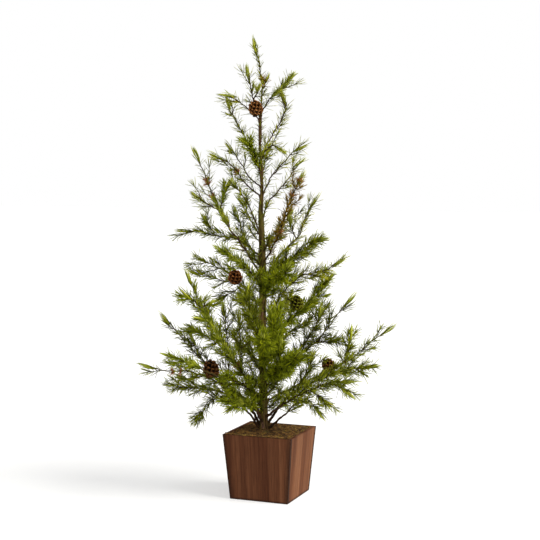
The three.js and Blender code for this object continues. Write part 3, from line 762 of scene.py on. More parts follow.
# How each kind of foliage is dressed: its needles' length and width, the step between clusters and
# the needles in each, their spread in degrees, and the share of its shoots that end in new growth.
Look = namedtuple("Look", "length width step cluster spread growth")
LOOKS = {
    "mid": Look(0.0175, 0.00120, 0.0046, 4, 46.0, 0.35),
    "dark": Look(0.0180, 0.00120, 0.0046, 4, 48.0, 0.15),
    "airy": Look(0.0180, 0.00105, 0.0062, 3, 56.0, 0.30),
    "bright": Look(0.0170, 0.00130, 0.0034, 6, 44.0, 0.50),
    "russet": Look(0.0130, 0.00115, 0.0036, 4, 42.0, 0.15),
    "slim": Look(0.0120, 0.00100, 0.0044, 3, 26.0, 0.40),
}
BRANCH_LOOKS = {name: look for look, names in {
    "bright": ("upper_left_front", "middle_left_low", "middle_front", "low_left_long",
               "low_left_front", "low_front_left", "low_front", "low_front_right", "right_rising"),
    "dark": ("middle_left_back", "low_left_droop", "back_low_left", "back_low_right", "back_right",
             "low_left_rising", "upper_back", "right_slant", "middle_back_left", "middle_back_right"),
    "airy": ("top_left_upright", "top_left", "top_right", "upper_right_hook", "upper_left_hook",
             "upper_left_dark", "upper_right_front", "upper_right_long", "upper_right",
             "middle_left_long", "middle_right_long", "right_high"),
    "russet": ("middle_right_russet",),
    "slim": ("leader",),
}.items() for name in names}
# Side wires whose needles differ from their branch's.
FORK_LOOKS = {("leader", 0): "russet", ("middle_left_long", 1): "bright",
              ("low_left_long", 0): "mid", ("low_front", 0): "mid"}
# How full a branch is: more than 1 sets its needles and shoots closer.
FULLNESS = {
    "leader": 1.7, "top_right": 0.8, "top_left": 0.8,
    "upper_left": 0.7, "upper_right": 0.65, "upper_left_front": 1.5, "upper_left_dark": 0.75,
    "upper_right_long": 0.85, "upper_back": 0.8,
    "middle_left_front": 0.65, "middle_back_left": 0.6, "middle_back_right": 0.8,
    "middle_left_long": 0.75, "middle_left": 1.2, "middle_left_flat": 0.8, "middle_left_back": 0.9,
    "middle_right_russet": 1.3, "middle_right": 2.1, "middle_front": 1.4,
    "low_left_rising": 0.8, "low_left_back": 1.2, "low_left_reach": 0.95, "low_left_long": 0.95,
    "low_front": 1.7, "low_front_right": 1.7, "low_front_left": 1.1,
    "right_high": 1.9, "right_rising": 1.4, "right_slant": 1.15, "right_long": 0.8,
    "right_flat": 1.3, "right_low": 1.1, "right_droop": 0.9,
}
# Wires that are nearly bare for some way behind their closed tip.
BARE_ENDS = {"right_long": 0.028, "low_left_long": 0.042, "low_left_rising": 0.045,
             "low_left_reach": 0.050, "right_slant": 0.045, "middle_left_long": 0.030,
             "leader": 0.004, "middle_left": 0.020, "right_high": 0.020}
# A stretch wrapped in bright needles that lie along the wire: from and to as shares of its length.
SHEATHS = {"middle_left_long": (0.40, 0.60), "low_left_long": (0.42, 0.80), "top_right": (0.30, 0.88),
           "low_left_front": (0.62, 0.80), "right_rising": (0.40, 0.65),
           "middle_left_low": (0.50, 0.80), "right_flat": (0.62, 0.78), "low_front_left": (0.45, 0.75)}
# Clusters of short red-brown needles, as shares of the wire's length.
RUSSET_BUDS = {"middle_left_long": [0.62, 0.72, 0.745], "low_left_reach": [0.70, 0.76],
               "middle_right_russet": [0.35, 0.75, 0.9], "low_left_long": [0.40], "upper_left": [0.50]}
JOINTS = {joint["child"]: joint for joint in frame["joints"]}

LOW_DOWN = 0.33  # branches that start lower than this have more and longer shoots
SHOOT_SPACING = {True: 0.012, False: 0.020}  # by whether the branch is low down
SHOOT_REACH = {True: (0.009, 0.024), False: (0.007, 0.015)}
STEM_STEP = 0.003  # between the points of a stem's path, and of a shoot's
SHOOT_STEP = 0.002
STEM_TIP_RADIUS = 0.0006
SHOOT_RADII = (0.00075, 0.0004)
FORK_THICKNESS = 0.0018
BARE_START = 0.012  # how far from its root a stem's needles start
STAR_SPACING = 0.022
WAVELENGTH = 0.022  # of the small waves in a wire
SOCKET_DEPTH = 0.0035  # how far a branch's wire starts inside the trunk
CAD_SLACK = 0.004  # how far a wire may leave its CAD branch's box
# How a stretch of wire is set with needles.
Foliage = namedtuple("Foliage", "step cluster spread_deg length width")
SHEATH_NEEDLES = Foliage(0.0016, 7, 20.0, 0.016, 0.0012)
SPUR_NEEDLES = Foliage(0.0038, 4, 46.0, 0.0165, 0.0012)
THIN_TRUNK_NEEDLES = Foliage(0.0034, 3, 52.0, 0.014, 0.0011)
THICK_TRUNK_NEEDLES = Foliage(0.0044, 3, 62.0, 0.018, 0.0012)
# Tufts and stars: how many needles, and their length and width.
Tuft = namedtuple("Tuft", "count length width")
SHOOT_TUFT = Tuft(7, 0.0155, 0.00115)
SPUR_TUFT = Tuft(8, 0.0165, 0.0012)
RUSSET_STAR = Tuft(34, 0.0096, 0.0013)
STEM_TUFT_COUNT = 12
STEM_TUFT_LENGTH = 0.027
STEM_TUFT_WIDTH = 0.00140
STEM_TUFT_OPEN_DEG = 30.0


def in_planter(points_mm):
    """Rows of points in the tree's own millimetres, in metres and turned with the tree."""
    x, y, z = (np.array(points_mm, float) * MM).T
    c, s = math.cos(TREE_TURN), math.sin(TREE_TURN)
    return np.stack([c * x - s * y, s * x + c * y, z], axis=1)


def branch_line(name):
    """The wire's corner points: its root, where it bends, and then the points of the table."""
    root = np.array(JOINTS[name]["pos_m"], float)
    return np.array([root, *in_planter(BRANCHES[name])])


def twig_lines(line, number):
    """Each twig's start, elbow and end. Twigs leave at even spacing, rolled by the golden angle."""
    lengths = path_lengths(line)
    total = lengths[-1]
    count = max(1, math.floor((total - BUD_LENGTH) / TWIG_SPACING + 0.5))
    twigs = []
    for k in range(count):
        place = (0.3 + 0.62 * (k + 0.5) / count) * total
        i = min(int(np.searchsorted(lengths, place)), len(line) - 1)
        tangent = unit(line[i] - line[i - 1])
        start = line[i - 1] + tangent * (place - lengths[i - 1])
        level = unit(np.cross(tangent, UP))
        across = turn_about(level, tangent, math.radians(137.5 * k + 40 * number))
        heading = tangent * math.cos(TWIG_SPREAD) + across * math.sin(TWIG_SPREAD)
        reach = (20 + 9 * math.sin(2.4 * k + number)) * MM
        elbow = start + heading * 0.5 * reach
        end = elbow + unit(heading * 0.65 + tangent * 0.35) * 0.5 * reach
        twigs.append(np.array([start, elbow, end]))
    return twigs


def wavy(path, random, amount):
    """The path with a small irregular wave that is nothing at its ends."""
    lengths = path_lengths(path)
    _, side, up = path_frames(path)
    fade = np.clip(lengths / 0.02, 0.0, 1.0) * np.clip((lengths[-1] - lengths) / 0.01, 0.0, 1.0)
    phases = random.uniform(0, math.tau, 4)

    def wave(scale, phase):
        return np.sin(lengths * math.tau / (scale * WAVELENGTH) + phase)

    first = wave(1.0, phases[0]) + 0.5 * wave(0.43, phases[1])
    second = wave(1.3, phases[2]) + 0.5 * wave(0.5, phases[3])
    return path + side * (amount * fade * first)[:, None] + up * (amount * fade * second)[:, None]


def knobbly(random, rows, sides, amount):
    """Radius factors with a swelling every few rings, where needles were set."""
    rings = 1.0 + amount * np.maximum(0.0, np.sin(np.arange(rows) * 2.1 + random.uniform(0, 6)))[:, None]
    return rings * (1.0 + random.uniform(-0.5, 0.5, (rows, sides)) * amount)


def check_against_cad(name, points):
    """The wire drawn here has to lie in the box of the CAD branch it stands for."""
    low, high = (np.array(corner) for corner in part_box(name))
    if (points.min(axis=0) < low - CAD_SLACK).any() or (points.max(axis=0) > high + CAD_SLACK).any():
        raise ValueError(f"the wire of {name} has left its CAD branch: change both tables together")


def socketed(line):
    """The line with a short start inside the trunk, so that the wire is seen to come out of it."""
    inward = SOCKET_DEPTH * unit(trunk_centre(line[0][2] - 0.004) - line[0])
    return np.array([line[0] + inward, *line])


def short_shoots(stem, random, number, spacing, reach_range):
    """Little side shoots all round a wire, each a smooth path."""
    lengths = path_lengths(stem)
    total = lengths[-1]
    tangents, sides, ups = path_frames(stem)
    count = max(2, int(0.84 * total / spacing))
    shoots = []
    for k in range(count):
        place = (0.12 + 0.80 * (k + random.uniform(0.15, 0.85)) / count) * total
        i = int(np.argmin(np.abs(lengths - place)))
        roll = GOLDEN_ANGLE * k * 1.7 + number
        across = sides[i] * math.cos(roll) + ups[i] * math.sin(roll)
        lean = math.radians(random.uniform(35, 62))
        heading = tangents[i] * math.cos(lean) + across * math.sin(lean)
        reach = random.uniform(*reach_range) * (1.0 - 0.35 * place / total)
        end = stem[i] + heading * reach + tangents[i] * 0.25 * reach
        shoots.append(smooth_path([stem[i], stem[i] + heading * 0.55 * reach, end], 0.002))
    return shoots


def fork_lines(name, line):
    """The corner points of the branch's side wires, each starting on the branch's own line."""
    return [np.array([line[at + 1], *in_planter(points)]) for at, points in FORKS.get(name, [])]


def dress_wire(shapes, line, twigs, random, number, look, thickness, bare_end, low_down, full):
    """One wire with its twigs, shoots, needles and closed tip, added to the branch's shapes."""
    wires = shapes["branch_wrap"]
    needles = shapes[look]
    growth = shapes["growth"]
    length, width, step, cluster, spread, growth_share = LOOKS[look]
    step = step / full
    stem = wavy(smooth_path(line, STEM_STEP), random, 0.0006)
    reached = path_lengths(stem)
    total = reached[-1]
    radii = np.linspace(0.5 * thickness, STEM_TIP_RADIUS, len(stem))
    bare_start = BARE_START
    if line[0][2] < STEM_FOOT_TOP:
        radii = radii + np.interp(reached, [0.0, 0.07], [STEM_FOOT_EXTRA, 0.0])
        bare_start = STEM_FOOT_BARE
    wires.add_tube(stem, radii, 8, knobbly(random, len(stem), 8, 0.22))
    leafy = total - 0.010 - bare_end
    needles_along(needles, stem, random, bare_start, leafy, step, cluster, spread, length, width)
    # The nearly bare stretch has a few short needles.
    needles_along(needles, stem, random, leafy, total - 0.014, 1.6 * step, 2, spread - 10.0,
                  0.62 * length, width)
    first_star = max(0.15, bare_start / total + 0.05)
    for share in np.arange(first_star, leafy / total, STAR_SPACING / (total * full)):
        star(needles, stem, share + random.uniform(-0.02, 0.02), random, 6, 1.1 * length, width)

    shoots = []
    for root, elbow, end in twigs:
        start = stem[np.argmin(np.linalg.norm(stem - root, axis=1))]
        shoots.append(wavy(smooth_path([start, elbow, end], SHOOT_STEP), random, 0.0003))
    if look != "slim":
        leafy_stem = stem[(reached < leafy) & (reached >= bare_start - BARE_START)]
        shoots += short_shoots(leafy_stem, random, number, SHOOT_SPACING[low_down] / full,
                               SHOOT_REACH[low_down])
    for shoot in shoots:
        if not clear_of_cones(shoot).all():
            continue
        wires.add_tube(shoot, np.linspace(*SHOOT_RADII, len(shoot)), 6,
                       knobbly(random, len(shoot), 6, 0.2))
        needles_along(needles, shoot, random, 0.002, path_lengths(shoot)[-1] - 0.001, step, cluster,
                      spread - 5.0, 0.86 * length, 0.95 * width)
        if random.uniform() < growth_share:
            closed_tuft(growth, shoot, random, *SHOOT_TUFT)
        else:
            open_tip(needles, shoot, random, SHOOT_TUFT.count, 1.05 * length, width)
    closed_tuft(growth, stem, random, STEM_TUFT_COUNT, min(STEM_TUFT_LENGTH, 0.6 * total),
                STEM_TUFT_WIDTH, STEM_TUFT_OPEN_DEG)


def add_sheath(growth, line, random, start, end):
    """Bright new needles packed along a stretch of the wire."""
    stem = smooth_path(line, STEM_STEP)
    total = path_lengths(stem)[-1]
    needles_along(growth, stem, random, start * total, end * total, *SHEATH_NEEDLES)


def build_branch(name, number):
    """One branch: its wires, needles, new growth and buds, each a piece that rides on its body."""
    random = np.random.default_rng(100 + number)
    line = branch_line(name)
    forks = fork_lines(name, line)
    twigs = twig_lines(line, number)
    check_against_cad(name, np.concatenate([line, *twigs, *forks]))
    low_down = bool(line[0][2] < LOW_DOWN)
    look = BRANCH_LOOKS.get(name, "mid")
    full = FULLNESS.get(name, 1.0)
    shapes = defaultdict(Shape)
    thickness = 0.0016 + 0.0018 * min(1.0, path_lengths(line)[-1] / 0.25)
    dress_wire(shapes, socketed(line), twigs, random, number, look, thickness,
               BARE_ENDS.get(name, 0.0), low_down, full)
    for k, fork in enumerate(forks):
        fork_number = number + k + 1
        long_enough = path_lengths(fork)[-1] > FORK_WITH_TWIGS
        fork_twigs = twig_lines(fork, fork_number) if long_enough else []
        dress_wire(shapes, fork, fork_twigs, random, fork_number, FORK_LOOKS.get((name, k), look),
                   FORK_THICKNESS, 0.0, low_down, full)
    if name in SHEATHS:
        add_sheath(shapes["growth"], line, random, *SHEATHS[name])
    for share in RUSSET_BUDS.get(name, []):
        star(shapes["buds"], smooth_path(line, STEM_STEP), share, random, *RUSSET_STAR)

    for kind, shape in shapes.items():
        slot = SLOTS.get(kind, "needles")
        if kind == "branch_wrap":
            shape.to_piece(f"{name}_wires", MATERIALS[kind], name, slot, instead_of=name)
        else:
            shape.to_piece(f"{name}_{kind}", MATERIALS[kind], name, slot)


# ---------------------------------------------------------------- the trunk

# In millimetres, as the CAD trunk: the centre line as (x, z), and the radius as (z, radius).
TRUNK_LINE = np.array([(-9, 0), (-9, 103), (-11, 182), (-13, 261), (-11, 308), (-12, 387),
                       (-14, 449), (-12, 480), (-15, 541), (-15, 588), (-12, 632)])
TRUNK_RADIUS = np.array([(0, 6.4), (103, 6.4), (300, 6.0), (440, 5.4), (478, 2.8), (541, 2.4),
                         (600, 2.1), (632, 1.7)])
TRUNK_TOP = 0.632
UNDER_MOSS = 0.088  # the height at which the trunk's stems and the low branches' wires start
# Where each stem of the trunk's bundle starts and ends.
BUNDLE = [*((UNDER_MOSS, end) for end in (0.474, 0.440, 0.390, 0.474, 0.350, 0.462, 0.420)),
          (0.40, 0.630), (0.42, 0.545), (0.41, 0.600)]
BUNDLE_OFFSET = 0.66  # of the stems' centres, as a share of the trunk's radius
BUNDLE_RADIUS = 0.37  # of each stem, as such a share
BUNDLE_TWIST = 6.0  # radians per metre
SPURS = {"count": 56, "low": 0.132, "high": 0.41}  # the little shoots that stand on the trunk itself
NEEDLES_FROM = 0.13  # the height at which the trunk's own needles start
THIN_FROM = 0.47  # and at which the trunk is thin
TRUNK_STEP = 0.004  # between the points of a stretch of the trunk


def trunk_centre(height):
    x = np.interp(height / MM, TRUNK_LINE[:, 1], TRUNK_LINE[:, 0]) * MM
    return turn_about(np.array([x, 0.0, height]), UP, TREE_TURN)


def trunk_radius(height):
    """The wrapped trunk is a little slimmer than its CAD stand-in higher up."""
    slimmer = np.interp(height, [0.33, 0.40, 0.46], [1.0, 0.88, 0.84])
    return slimmer * np.interp(height / MM, TRUNK_RADIUS[:, 0], TRUNK_RADIUS[:, 1]) * MM


def bundle_strand(trunk, random, start, end, roll):
    """One stem of the trunk's bundle, wound slowly round the centre line from one height to another."""
    heights = np.arange(start, end, TRUNK_STEP)
    line = []
    for height in heights:
        turn = roll + BUNDLE_TWIST * height + 0.22 * math.sin(31.0 * height + roll * 3.0)
        reach = BUNDLE_OFFSET * trunk_radius(height)
        line.append(trunk_centre(height) + reach * np.array([math.cos(turn), math.sin(turn), 0.0]))
    radii = np.array([BUNDLE_RADIUS * trunk_radius(height) for height in heights])
    radii = radii * np.interp(heights, [end - 0.03, end], [1.0, 0.35])
    trunk.add_tube(np.array(line), radii, 10, knobbly(random, len(line), 10, 0.07))


def root_strand(trunk, random, root):
    """A branch's wire where it runs down the trunk from its root: into the soil on the low ones."""
    out = unit((root - trunk_centre(root[2])) * (1.0, 1.0, 0.0))
    low_down = root[2] < 0.15
    drop = root[2] - UNDER_MOSS if low_down else 0.05
    sink = 0.0 if low_down else 0.45  # how far into the trunk the strand dies away
    turn = random.uniform(-0.5, 0.5)
    line = [root + out * 0.0002]
    for share in (0.12, 0.35, 0.7, 1.0):
        height = max(root[2] - drop * share, UNDER_MOSS)
        aside = turn_about(out, UP, turn * share)
        line.append(trunk_centre(height) + aside * trunk_radius(height) * (1.0 - sink * share))
    strand = smooth_path(line[::-1], STEM_STEP)
    swell = np.interp(np.linspace(0, 1, len(strand)), [0, 0.5, 1.0], [0.0022, 0.0021, 0.0018])
    swell = swell * (1.1 if low_down else 0.7)
    trunk.add_tube(strand, swell, 8, knobbly(random, len(strand), 8, 0.12))


def trunk_rings(random):
    """The wrapped core of the trunk: rings that swell and shrink a little with each turn of the wrap."""
    sides = 32
    angle = math.tau * np.arange(sides) / sides
    level = np.stack([np.cos(angle), np.sin(angle), np.zeros(sides)], axis=1)
    rings = []
    for height in np.arange(0.014, TRUNK_TOP + 1e-6, 0.0025):
        wrap = 0.05 * math.sin(height * 420.0 + 0.8 * math.sin(height * 90.0))
        reach = trunk_radius(height) * (0.74 + wrap + 0.03 * random.uniform(-1, 1, sides))
        rings.append(trunk_centre(height) + reach[:, None] * level)
    return rings


def trunk_stretch(low, high):
    return np.array([trunk_centre(height) for height in np.arange(low, high, TRUNK_STEP)])


def build_spurs(random):
    """Little shoots all round the trunk, and the needles on them and on the trunk itself."""
    spurs, needles = Shape(), Shape()
    for k in range(SPURS["count"]):
        share = ((k + random.uniform(0, 1)) / SPURS["count"]) ** 1.6
        height = SPURS["low"] + share * (SPURS["high"] - SPURS["low"])
        roll = GOLDEN_ANGLE * k
        out = np.array([math.cos(roll), math.sin(roll), 0.0])
        start = trunk_centre(height) + out * 0.8 * trunk_radius(height)
        reach = random.uniform(0.014, 0.034)
        rise = UP * random.uniform(0.5, 1.1) * reach
        path = smooth_path([start, start + out * 0.6 * reach + 0.4 * rise, start + out * reach + rise],
                           SHOOT_STEP)
        spurs.add_tube(path, np.linspace(0.0008, 0.0004, len(path)), 6)
        needles_along(needles, path, random, 0.003, math.inf, *SPUR_NEEDLES)
        open_tip(needles, path, random, *SPUR_TUFT)
    spurs.to_piece("trunk_spurs", MATERIALS["branch_wrap"], "planter", "wrapped_bark")
    thin_part = trunk_stretch(THIN_FROM, TRUNK_TOP)
    needles_along(needles, thin_part, random, 0.0, math.inf, *THIN_TRUNK_NEEDLES)
    thick_part = trunk_stretch(NEEDLES_FROM, THIN_FROM)
    needles_along(needles, thick_part, random, 0.0, math.inf, *THICK_TRUNK_NEEDLES)
    needles.to_piece("trunk_needles", MATERIALS["mid"], "planter", "needles")


def build_trunk():
    """The wrapped trunk: a core with a bundle of stems round it, some of which leave as branches."""
    random = np.random.default_rng(7)
    trunk = Shape()
    rings = trunk_rings(random)
    trunk.add_rings(rings, np.linspace(0, 1, len(rings)))
    for k, (start, end) in enumerate(BUNDLE):
        bundle_strand(trunk, random, start, end, math.tau * k / 7)
    for name, joint in JOINTS.items():
        if name != "leader":
            root_strand(trunk, random, np.array(joint["pos_m"], float))
    trunk.to_piece("trunk_wrap", MATERIALS["trunk_wrap"], "planter", "wrapped_bark",
                   instead_of="trunk_bark")
    build_spurs(random)


# ---------------------------------------------------------------- the cones

# Some cones are darker than others, and one is still green.
CONE_TINTS = {"cone_top": (1.15, 1.10, 1.05), "cone_middle_left": (0.85, 0.72, 0.65),
              "cone_low_left": (0.48, 0.44, 0.40), "cone_low_right": (0.95, 0.88, 0.80),
              "cone_middle_right": (0.62, 1.45, 0.32)}
CONE_TILT = (0.35, -0.3)  # turns about the tree's x and then y, in radians
CONE_RADIUS = 0.0115  # the radius at which the scales have the sizes given here
CONE_WIRE_RADIUS = 0.0007
CONE_COIL = {"turns": 3, "radius": 0.0021, "wire": 0.0005, "pitch": 0.0011}
SCALE_COUNT = 38
SCALE_WIDTH = (0.0128, 0.0076)  # at the cone's foot and at its tip
SCALE_LENGTH = (0.0100, 0.0070)
SCALE_THICKNESS = 0.0017
SCALE_COLUMNS = 7
SCALE_ROWS = 7


def scale_points(width, length):
    """A cone scale: narrow at its foot, round and thick at its rim, cupped, with a small boss."""
    top, bottom, along = [], [], []
    for row in range(SCALE_ROWS):
        t = row / (SCALE_ROWS - 1)
        half = 0.5 * width * (0.35 + 0.65 * math.sin(math.pi * min(1.0, 0.12 + 0.62 * t)))
        if t > 0.5:
            half *= 1.0 - 0.88 * ((t - 0.5) / 0.5) ** 1.5
        for column in range(SCALE_COLUMNS):
            u = 2.0 * column / (SCALE_COLUMNS - 1) - 1.0
            lift = 0.22 * length * t * t - 0.16 * width * u * u * (0.4 + t)
            boss = 0.35 * SCALE_THICKNESS * math.exp(-((u / 0.35) ** 2 + ((t - 0.82) / 0.14) ** 2))
            thick = SCALE_THICKNESS * (0.45 + 0.55 * t) * (1.0 - 0.55 * abs(u) ** 3)
            top.append((half * u, length * t, lift + 0.5 * thick + boss))
            bottom.append((half * u, length * t, lift - 0.5 * thick))
            along.append(t)
    return np.array(top + bottom), np.array(along + along)


def scale_faces():
    """The faces of one closed scale: its top, its underside and its rim."""
    size = SCALE_ROWS * SCALE_COLUMNS
    faces = []
    for row in range(SCALE_ROWS - 1):
        for column in range(SCALE_COLUMNS - 1):
            a = row * SCALE_COLUMNS + column
            face = [a, a + 1, a + SCALE_COLUMNS + 1, a + SCALE_COLUMNS]
            faces.append(face)
            faces.append([size + corner for corner in face[::-1]])
    rim = grid_rim(SCALE_ROWS, SCALE_COLUMNS)
    for first, second in zip(rim, rim[1:] + rim[:1]):
        faces.append([second, first, size + first, size + second])
    return faces


def cone_wire(name, centre, axis, height):
    """The short wire from a cone's foot, with three turns round its branch or the trunk."""
    body = CONE_ON[name]
    if body == "planter":
        anchor = trunk_centre(centre[2] - 0.012)
    else:
        stem = smooth_path(branch_line(body), 0.002)
        anchor = stem[np.argmin(np.linalg.norm(stem - (centre - axis * 0.4 * height), axis=1))]
    foot = centre - axis * 0.42 * height
    middle = 0.5 * (anchor + foot) - axis * 0.004
    path = smooth_path([anchor, middle, foot], 0.0015)
    wire = Shape()
    wire.add_tube(path, np.full(len(path), CONE_WIRE_RADIUS), 8)
    tangent = unit(foot - anchor)
    across = unit(np.cross(tangent, UP + 0.05))
    up = np.cross(tangent, across)
    turns = CONE_COIL["turns"]
    coil = np.array([anchor + CONE_COIL["radius"] * (across * math.cos(a) + up * math.sin(a))
                     + tangent * CONE_COIL["pitch"] * (a / math.tau - 0.5 * turns)
                     for a in np.linspace(0, turns * math.tau, 40)])
    wire.add_tube(coil, np.full(len(coil), CONE_COIL["wire"]), 6)
    wire.to_piece(f"{name}_wire", MATERIALS["branch_wrap"], body, "wrapped_bark")


def build_cone(name):
    """A pine cone: overlapping scales set round a core by the golden angle, opening below its tip."""
    random = np.random.default_rng(sum(map(ord, name)))
    low, high = (np.array(corner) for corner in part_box(name))
    centre = 0.5 * (low + high)
    radius = 0.25 * (high[0] - low[0] + high[1] - low[1])
    height = high[2] - low[2]
    axis = turn_about(UP, np.array([0.0, 1.0, 0.0]), CONE_TILT[1])
    axis = turn_about(axis, np.array([1.0, 0.0, 0.0]), CONE_TILT[0])
    axis = turn_about(axis, UP, TREE_TURN)
    east = unit(np.cross(axis, np.array([0.3, 1.0, 0.1])))
    north = np.cross(axis, east)
    cone = Shape()
    core = np.array([centre + axis * height * s for s in np.linspace(-0.47, 0.40, 14)])
    shares = np.sin(np.pi * np.linspace(0.10, 0.95, 14)) ** 0.7
    cone.add_tube(core, 0.42 * radius * shares, 14)
    cone.along[-1] = np.zeros_like(cone.along[-1])
    faces = scale_faces()
    for k in range(SCALE_COUNT):
        t = (k + 0.5) / SCALE_COUNT
        place = -0.42 + 0.84 * t ** 0.95
        girth = math.sin(math.pi * min(0.97, 0.20 + 0.76 * t)) ** 0.55
        width = np.interp(t, (0, 1), SCALE_WIDTH) * radius / CONE_RADIUS
        length = np.interp(t, (0, 1), SCALE_LENGTH) * radius / CONE_RADIUS
        lift = math.radians(8 + 62 * t ** 1.2 + random.uniform(-14, 14))
        roll = GOLDEN_ANGLE * k
        out = east * math.cos(roll) + north * math.sin(roll)
        heading = out * math.cos(lift) + axis * math.sin(lift)
        up = np.cross(np.cross(out, axis), heading)
        up = up if np.dot(up, axis) > 0 else -up
        side = np.cross(heading, up)
        tip = centre + axis * height * place + out * radius * girth * random.uniform(0.94, 1.10)
        foot = tip - heading * length
        points, along = scale_points(width * random.uniform(0.88, 1.10), length)
        cone.add(foot + points @ np.array([side, heading, up]), faces, along)
    cone.to_piece(f"{name}_scales", MATERIALS[name], CONE_ON[name], "cone_scale", instead_of=name)
    cone_wire(name, centre, axis, height)


# ---------------------------------------------------------------- the planter

BOARD_PAINTS = {"board_front": "wood_y", "board_back": "wood_y", "base_board": "wood_y",
                "board_left": "wood_x", "board_right": "wood_x"}
INNER_PAINTS = {"ballast_block": "plaster", "trunk_core": "steel"}
EASING = 0.0004  # of the boards' edges


def dress_planter():
    """The boards keep their CAD shape, with eased edges. The pieces inside only get their material."""
    for name, paint in {**BOARD_PAINTS, **INNER_PAINTS}.items():
        frame["nodes"][name].data.materials.clear()
        frame["nodes"][name].data.materials.append(MATERIALS[paint])
    for name in BOARD_PAINTS:
        eased = frame["nodes"][name].modifiers.new("eased_edges", "BEVEL")
        eased.width = EASING
        eased.segments = 3
        eased.limit_method = "ANGLE"
        eased.harden_normals = False


MOSS_CELLS = 110  # along each side of the bed
MOSS_ROUGHNESS = 0.0006
STRANDS = {"count": 2300, "over_rim": 150, "radius": 0.00042}  # loose fibre, some over a board
STRAND_TAPER = np.array([0.5, 0.9, 1.0, 0.9, 0.7, 0.3])


def moss_height(x, y):
    """The moss top: a low dome with lumps, a little lower along the boards."""
    edge = np.maximum(np.abs(x), np.abs(y)) / 0.0512
    dome = 0.0988 + 0.0042 * (1.0 - np.clip(edge, 0, 1) ** 2.2)
    lumps = (0.0010 * np.sin(x * 210 + 1.3) * np.sin(y * 190 + 0.4) + 0.0007 * np.sin(x * 430 + y * 260)
             + 0.0005 * np.sin(y * 640 - x * 350 + 2.0))
    return dome + lumps


def moss_bed(random, half):
    """The lumpy bed: a grid of the top's heights, with a skirt down to a flat underside."""
    line = np.linspace(-half, half, MOSS_CELLS + 1)
    x, y = np.meshgrid(line, line)
    z = moss_height(x, y) + random.uniform(-MOSS_ROUGHNESS, MOSS_ROUGHNESS, x.shape)
    top = np.stack([x, y, z], axis=-1).reshape(-1, 3)
    side = MOSS_CELLS + 1
    rim = grid_rim(side, side)
    skirt = top[rim] * (0.985, 0.985, 1.0)
    skirt[:, 2] = float(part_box("moss_mat")[0][2])
    faces = [[r * side + c, r * side + c + 1, (r + 1) * side + c + 1, (r + 1) * side + c]
             for r in range(MOSS_CELLS) for c in range(MOSS_CELLS)]
    base = len(top)
    count = len(rim)
    faces += [[rim[(k + 1) % count], rim[k], base + k, base + (k + 1) % count] for k in range(count)]
    faces.append([base + k for k in range(count)][::-1])
    bed = Shape()
    bed.add(np.concatenate([top, skirt]), faces, 0.5)
    bed.to_piece("moss_bed", MATERIALS["moss"], "planter", "moss_fibre", instead_of="moss_mat")


def moss_strand(random, half, over_rim):
    """The points of one fibre: an arch over the bed, or a shorter one that spills over a board."""
    start = random.uniform(-half + 0.003, half - 0.003, 2)
    bearing = random.uniform(0, math.tau)
    reach = random.uniform(0.008, 0.026)
    limit = half - 0.001
    if over_rim:
        start[1] = -half + random.uniform(0.000, 0.004)
        bearing = -0.5 * math.pi + random.uniform(-1.45, 1.45)
        reach = random.uniform(0.004, 0.012)
        limit = BOARD_RIM - 0.0005
    bow = random.uniform(-0.35, 0.35)
    loft = random.uniform(0.0008, 0.0034) * (0.4 if over_rim else 1.0)
    points = []
    for share in np.linspace(0, 1, len(STRAND_TAPER)):
        turned = bearing + bow * share * 2
        ahead = np.array([math.cos(turned), math.sin(turned)])
        x, y = np.clip(start + reach * share * ahead, -limit, limit)
        ground = float(moss_height(x, y))
        if over_rim:
            ground = max(ground, BOARD_TOP + 0.0003)
        points.append((x, y, ground + loft * math.sin(math.pi * share) + 0.0002))
    return np.array(points)


def build_moss():
    random = np.random.default_rng(21)
    half = float(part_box("moss_mat")[1][0]) - 0.0003
    moss_bed(random, half)
    strands = Shape()
    for k in range(STRANDS["count"]):
        strand = moss_strand(random, half, k < STRANDS["over_rim"])
        # A strand cut short by the limit would fold on itself.
        if np.linalg.norm(np.diff(strand, axis=0), axis=1).min() > 1e-4:
            strands.add_tube(strand, STRANDS["radius"] * STRAND_TAPER, 4)
    strands.to_piece("moss_strands", MATERIALS["moss_strand"], "planter", "moss_fibre")


# ---------------------------------------------------------------- everything

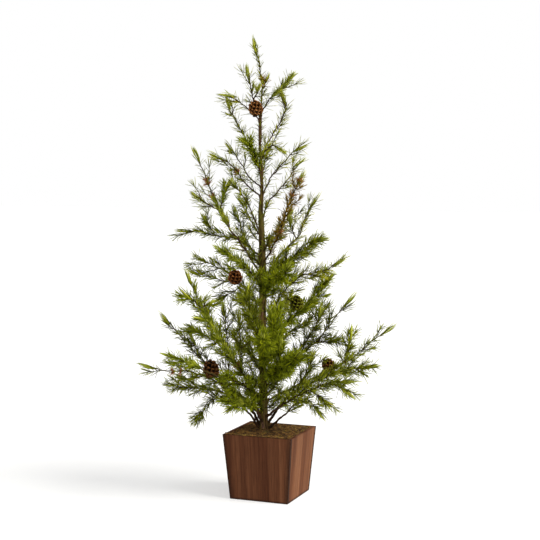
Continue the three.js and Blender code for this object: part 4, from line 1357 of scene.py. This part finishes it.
# Each kind of needle: its material's name, and its colours at the foot, the body and the tip.
NEEDLE_COLOURS = {
    "mid": ("needles_mid", (0.028, 0.030, 0.001), (0.130, 0.156, 0.005), (0.284, 0.318, 0.020)),
    "airy": ("needles_airy", (0.048, 0.049, 0.002), (0.178, 0.196, 0.008), (0.392, 0.410, 0.050)),
    "dark": ("needles_dark", (0.013, 0.015, 0.001), (0.071, 0.086, 0.004), (0.184, 0.208, 0.014)),
    "bright": ("needles_bright", (0.036, 0.042, 0.001), (0.147, 0.182, 0.003), (0.275, 0.325, 0.014)),
    "slim": ("needles_slim", (0.060, 0.062, 0.002), (0.160, 0.180, 0.009), (0.320, 0.345, 0.045)),
    "russet": ("needles_russet", (0.055, 0.028, 0.003), (0.160, 0.096, 0.007), (0.250, 0.175, 0.018)),
    "buds": ("bud_needles", (0.060, 0.018, 0.005), (0.240, 0.088, 0.030), (0.380, 0.200, 0.100)),
    "growth": ("new_growth", (0.110, 0.125, 0.003), (0.285, 0.330, 0.016), (0.450, 0.490, 0.090)),
}
MATERIALS = {
    **{kind: needle_material(*row) for kind, row in NEEDLE_COLOURS.items()},
    **{name: cone_material(f"{name}_scales", tint) for name, tint in CONE_TINTS.items()},
    "branch_wrap": branch_material("branch_wrap", (0.013, 0.006, 0.003), (0.046, 0.021, 0.009),
                                   (0.090, 0.046, 0.020), (0.066, 0.062, 0.007)),
    "trunk_wrap": trunk_material("trunk_wrap"),
    # Wood on the boards facing Y is darker than on those facing X: painted shade, because the front faces
    # away from the key lamp.
    "wood_x": wood_material("stained_wood_sides", "Y", (0.112, 0.037, 0.013),
                            (0.182, 0.072, 0.030), sides_shaded=False),
    "wood_y": wood_material("stained_wood_front_with_painted_shade", "X", (0.064, 0.020, 0.008),
                            (0.134, 0.051, 0.022), sides_shaded=True),
    # The bed is darker than the strands laid over it: painted shade for the dark gaps between the fibres.
    "moss": moss_material("moss_bed", (0.020, 0.010, 0.003), (0.070, 0.036, 0.010),
                          (0.110, 0.070, 0.016)),
    "moss_strand": moss_material("moss_strands", (0.085, 0.040, 0.011), (0.230, 0.120, 0.032),
                                 (0.280, 0.200, 0.045)),
    "plaster": plaster_material("cast_plaster"),
    "steel": steel_material("drawn_steel"),
}

make_camera()
make_floor()
make_sky()
make_lamps()
dress_planter()
build_moss()
build_trunk()
for cone_name in CONE_ON:
    build_cone(cone_name)
for branch_number, branch_name in enumerate(BRANCHES):
    build_branch(branch_name, branch_number)
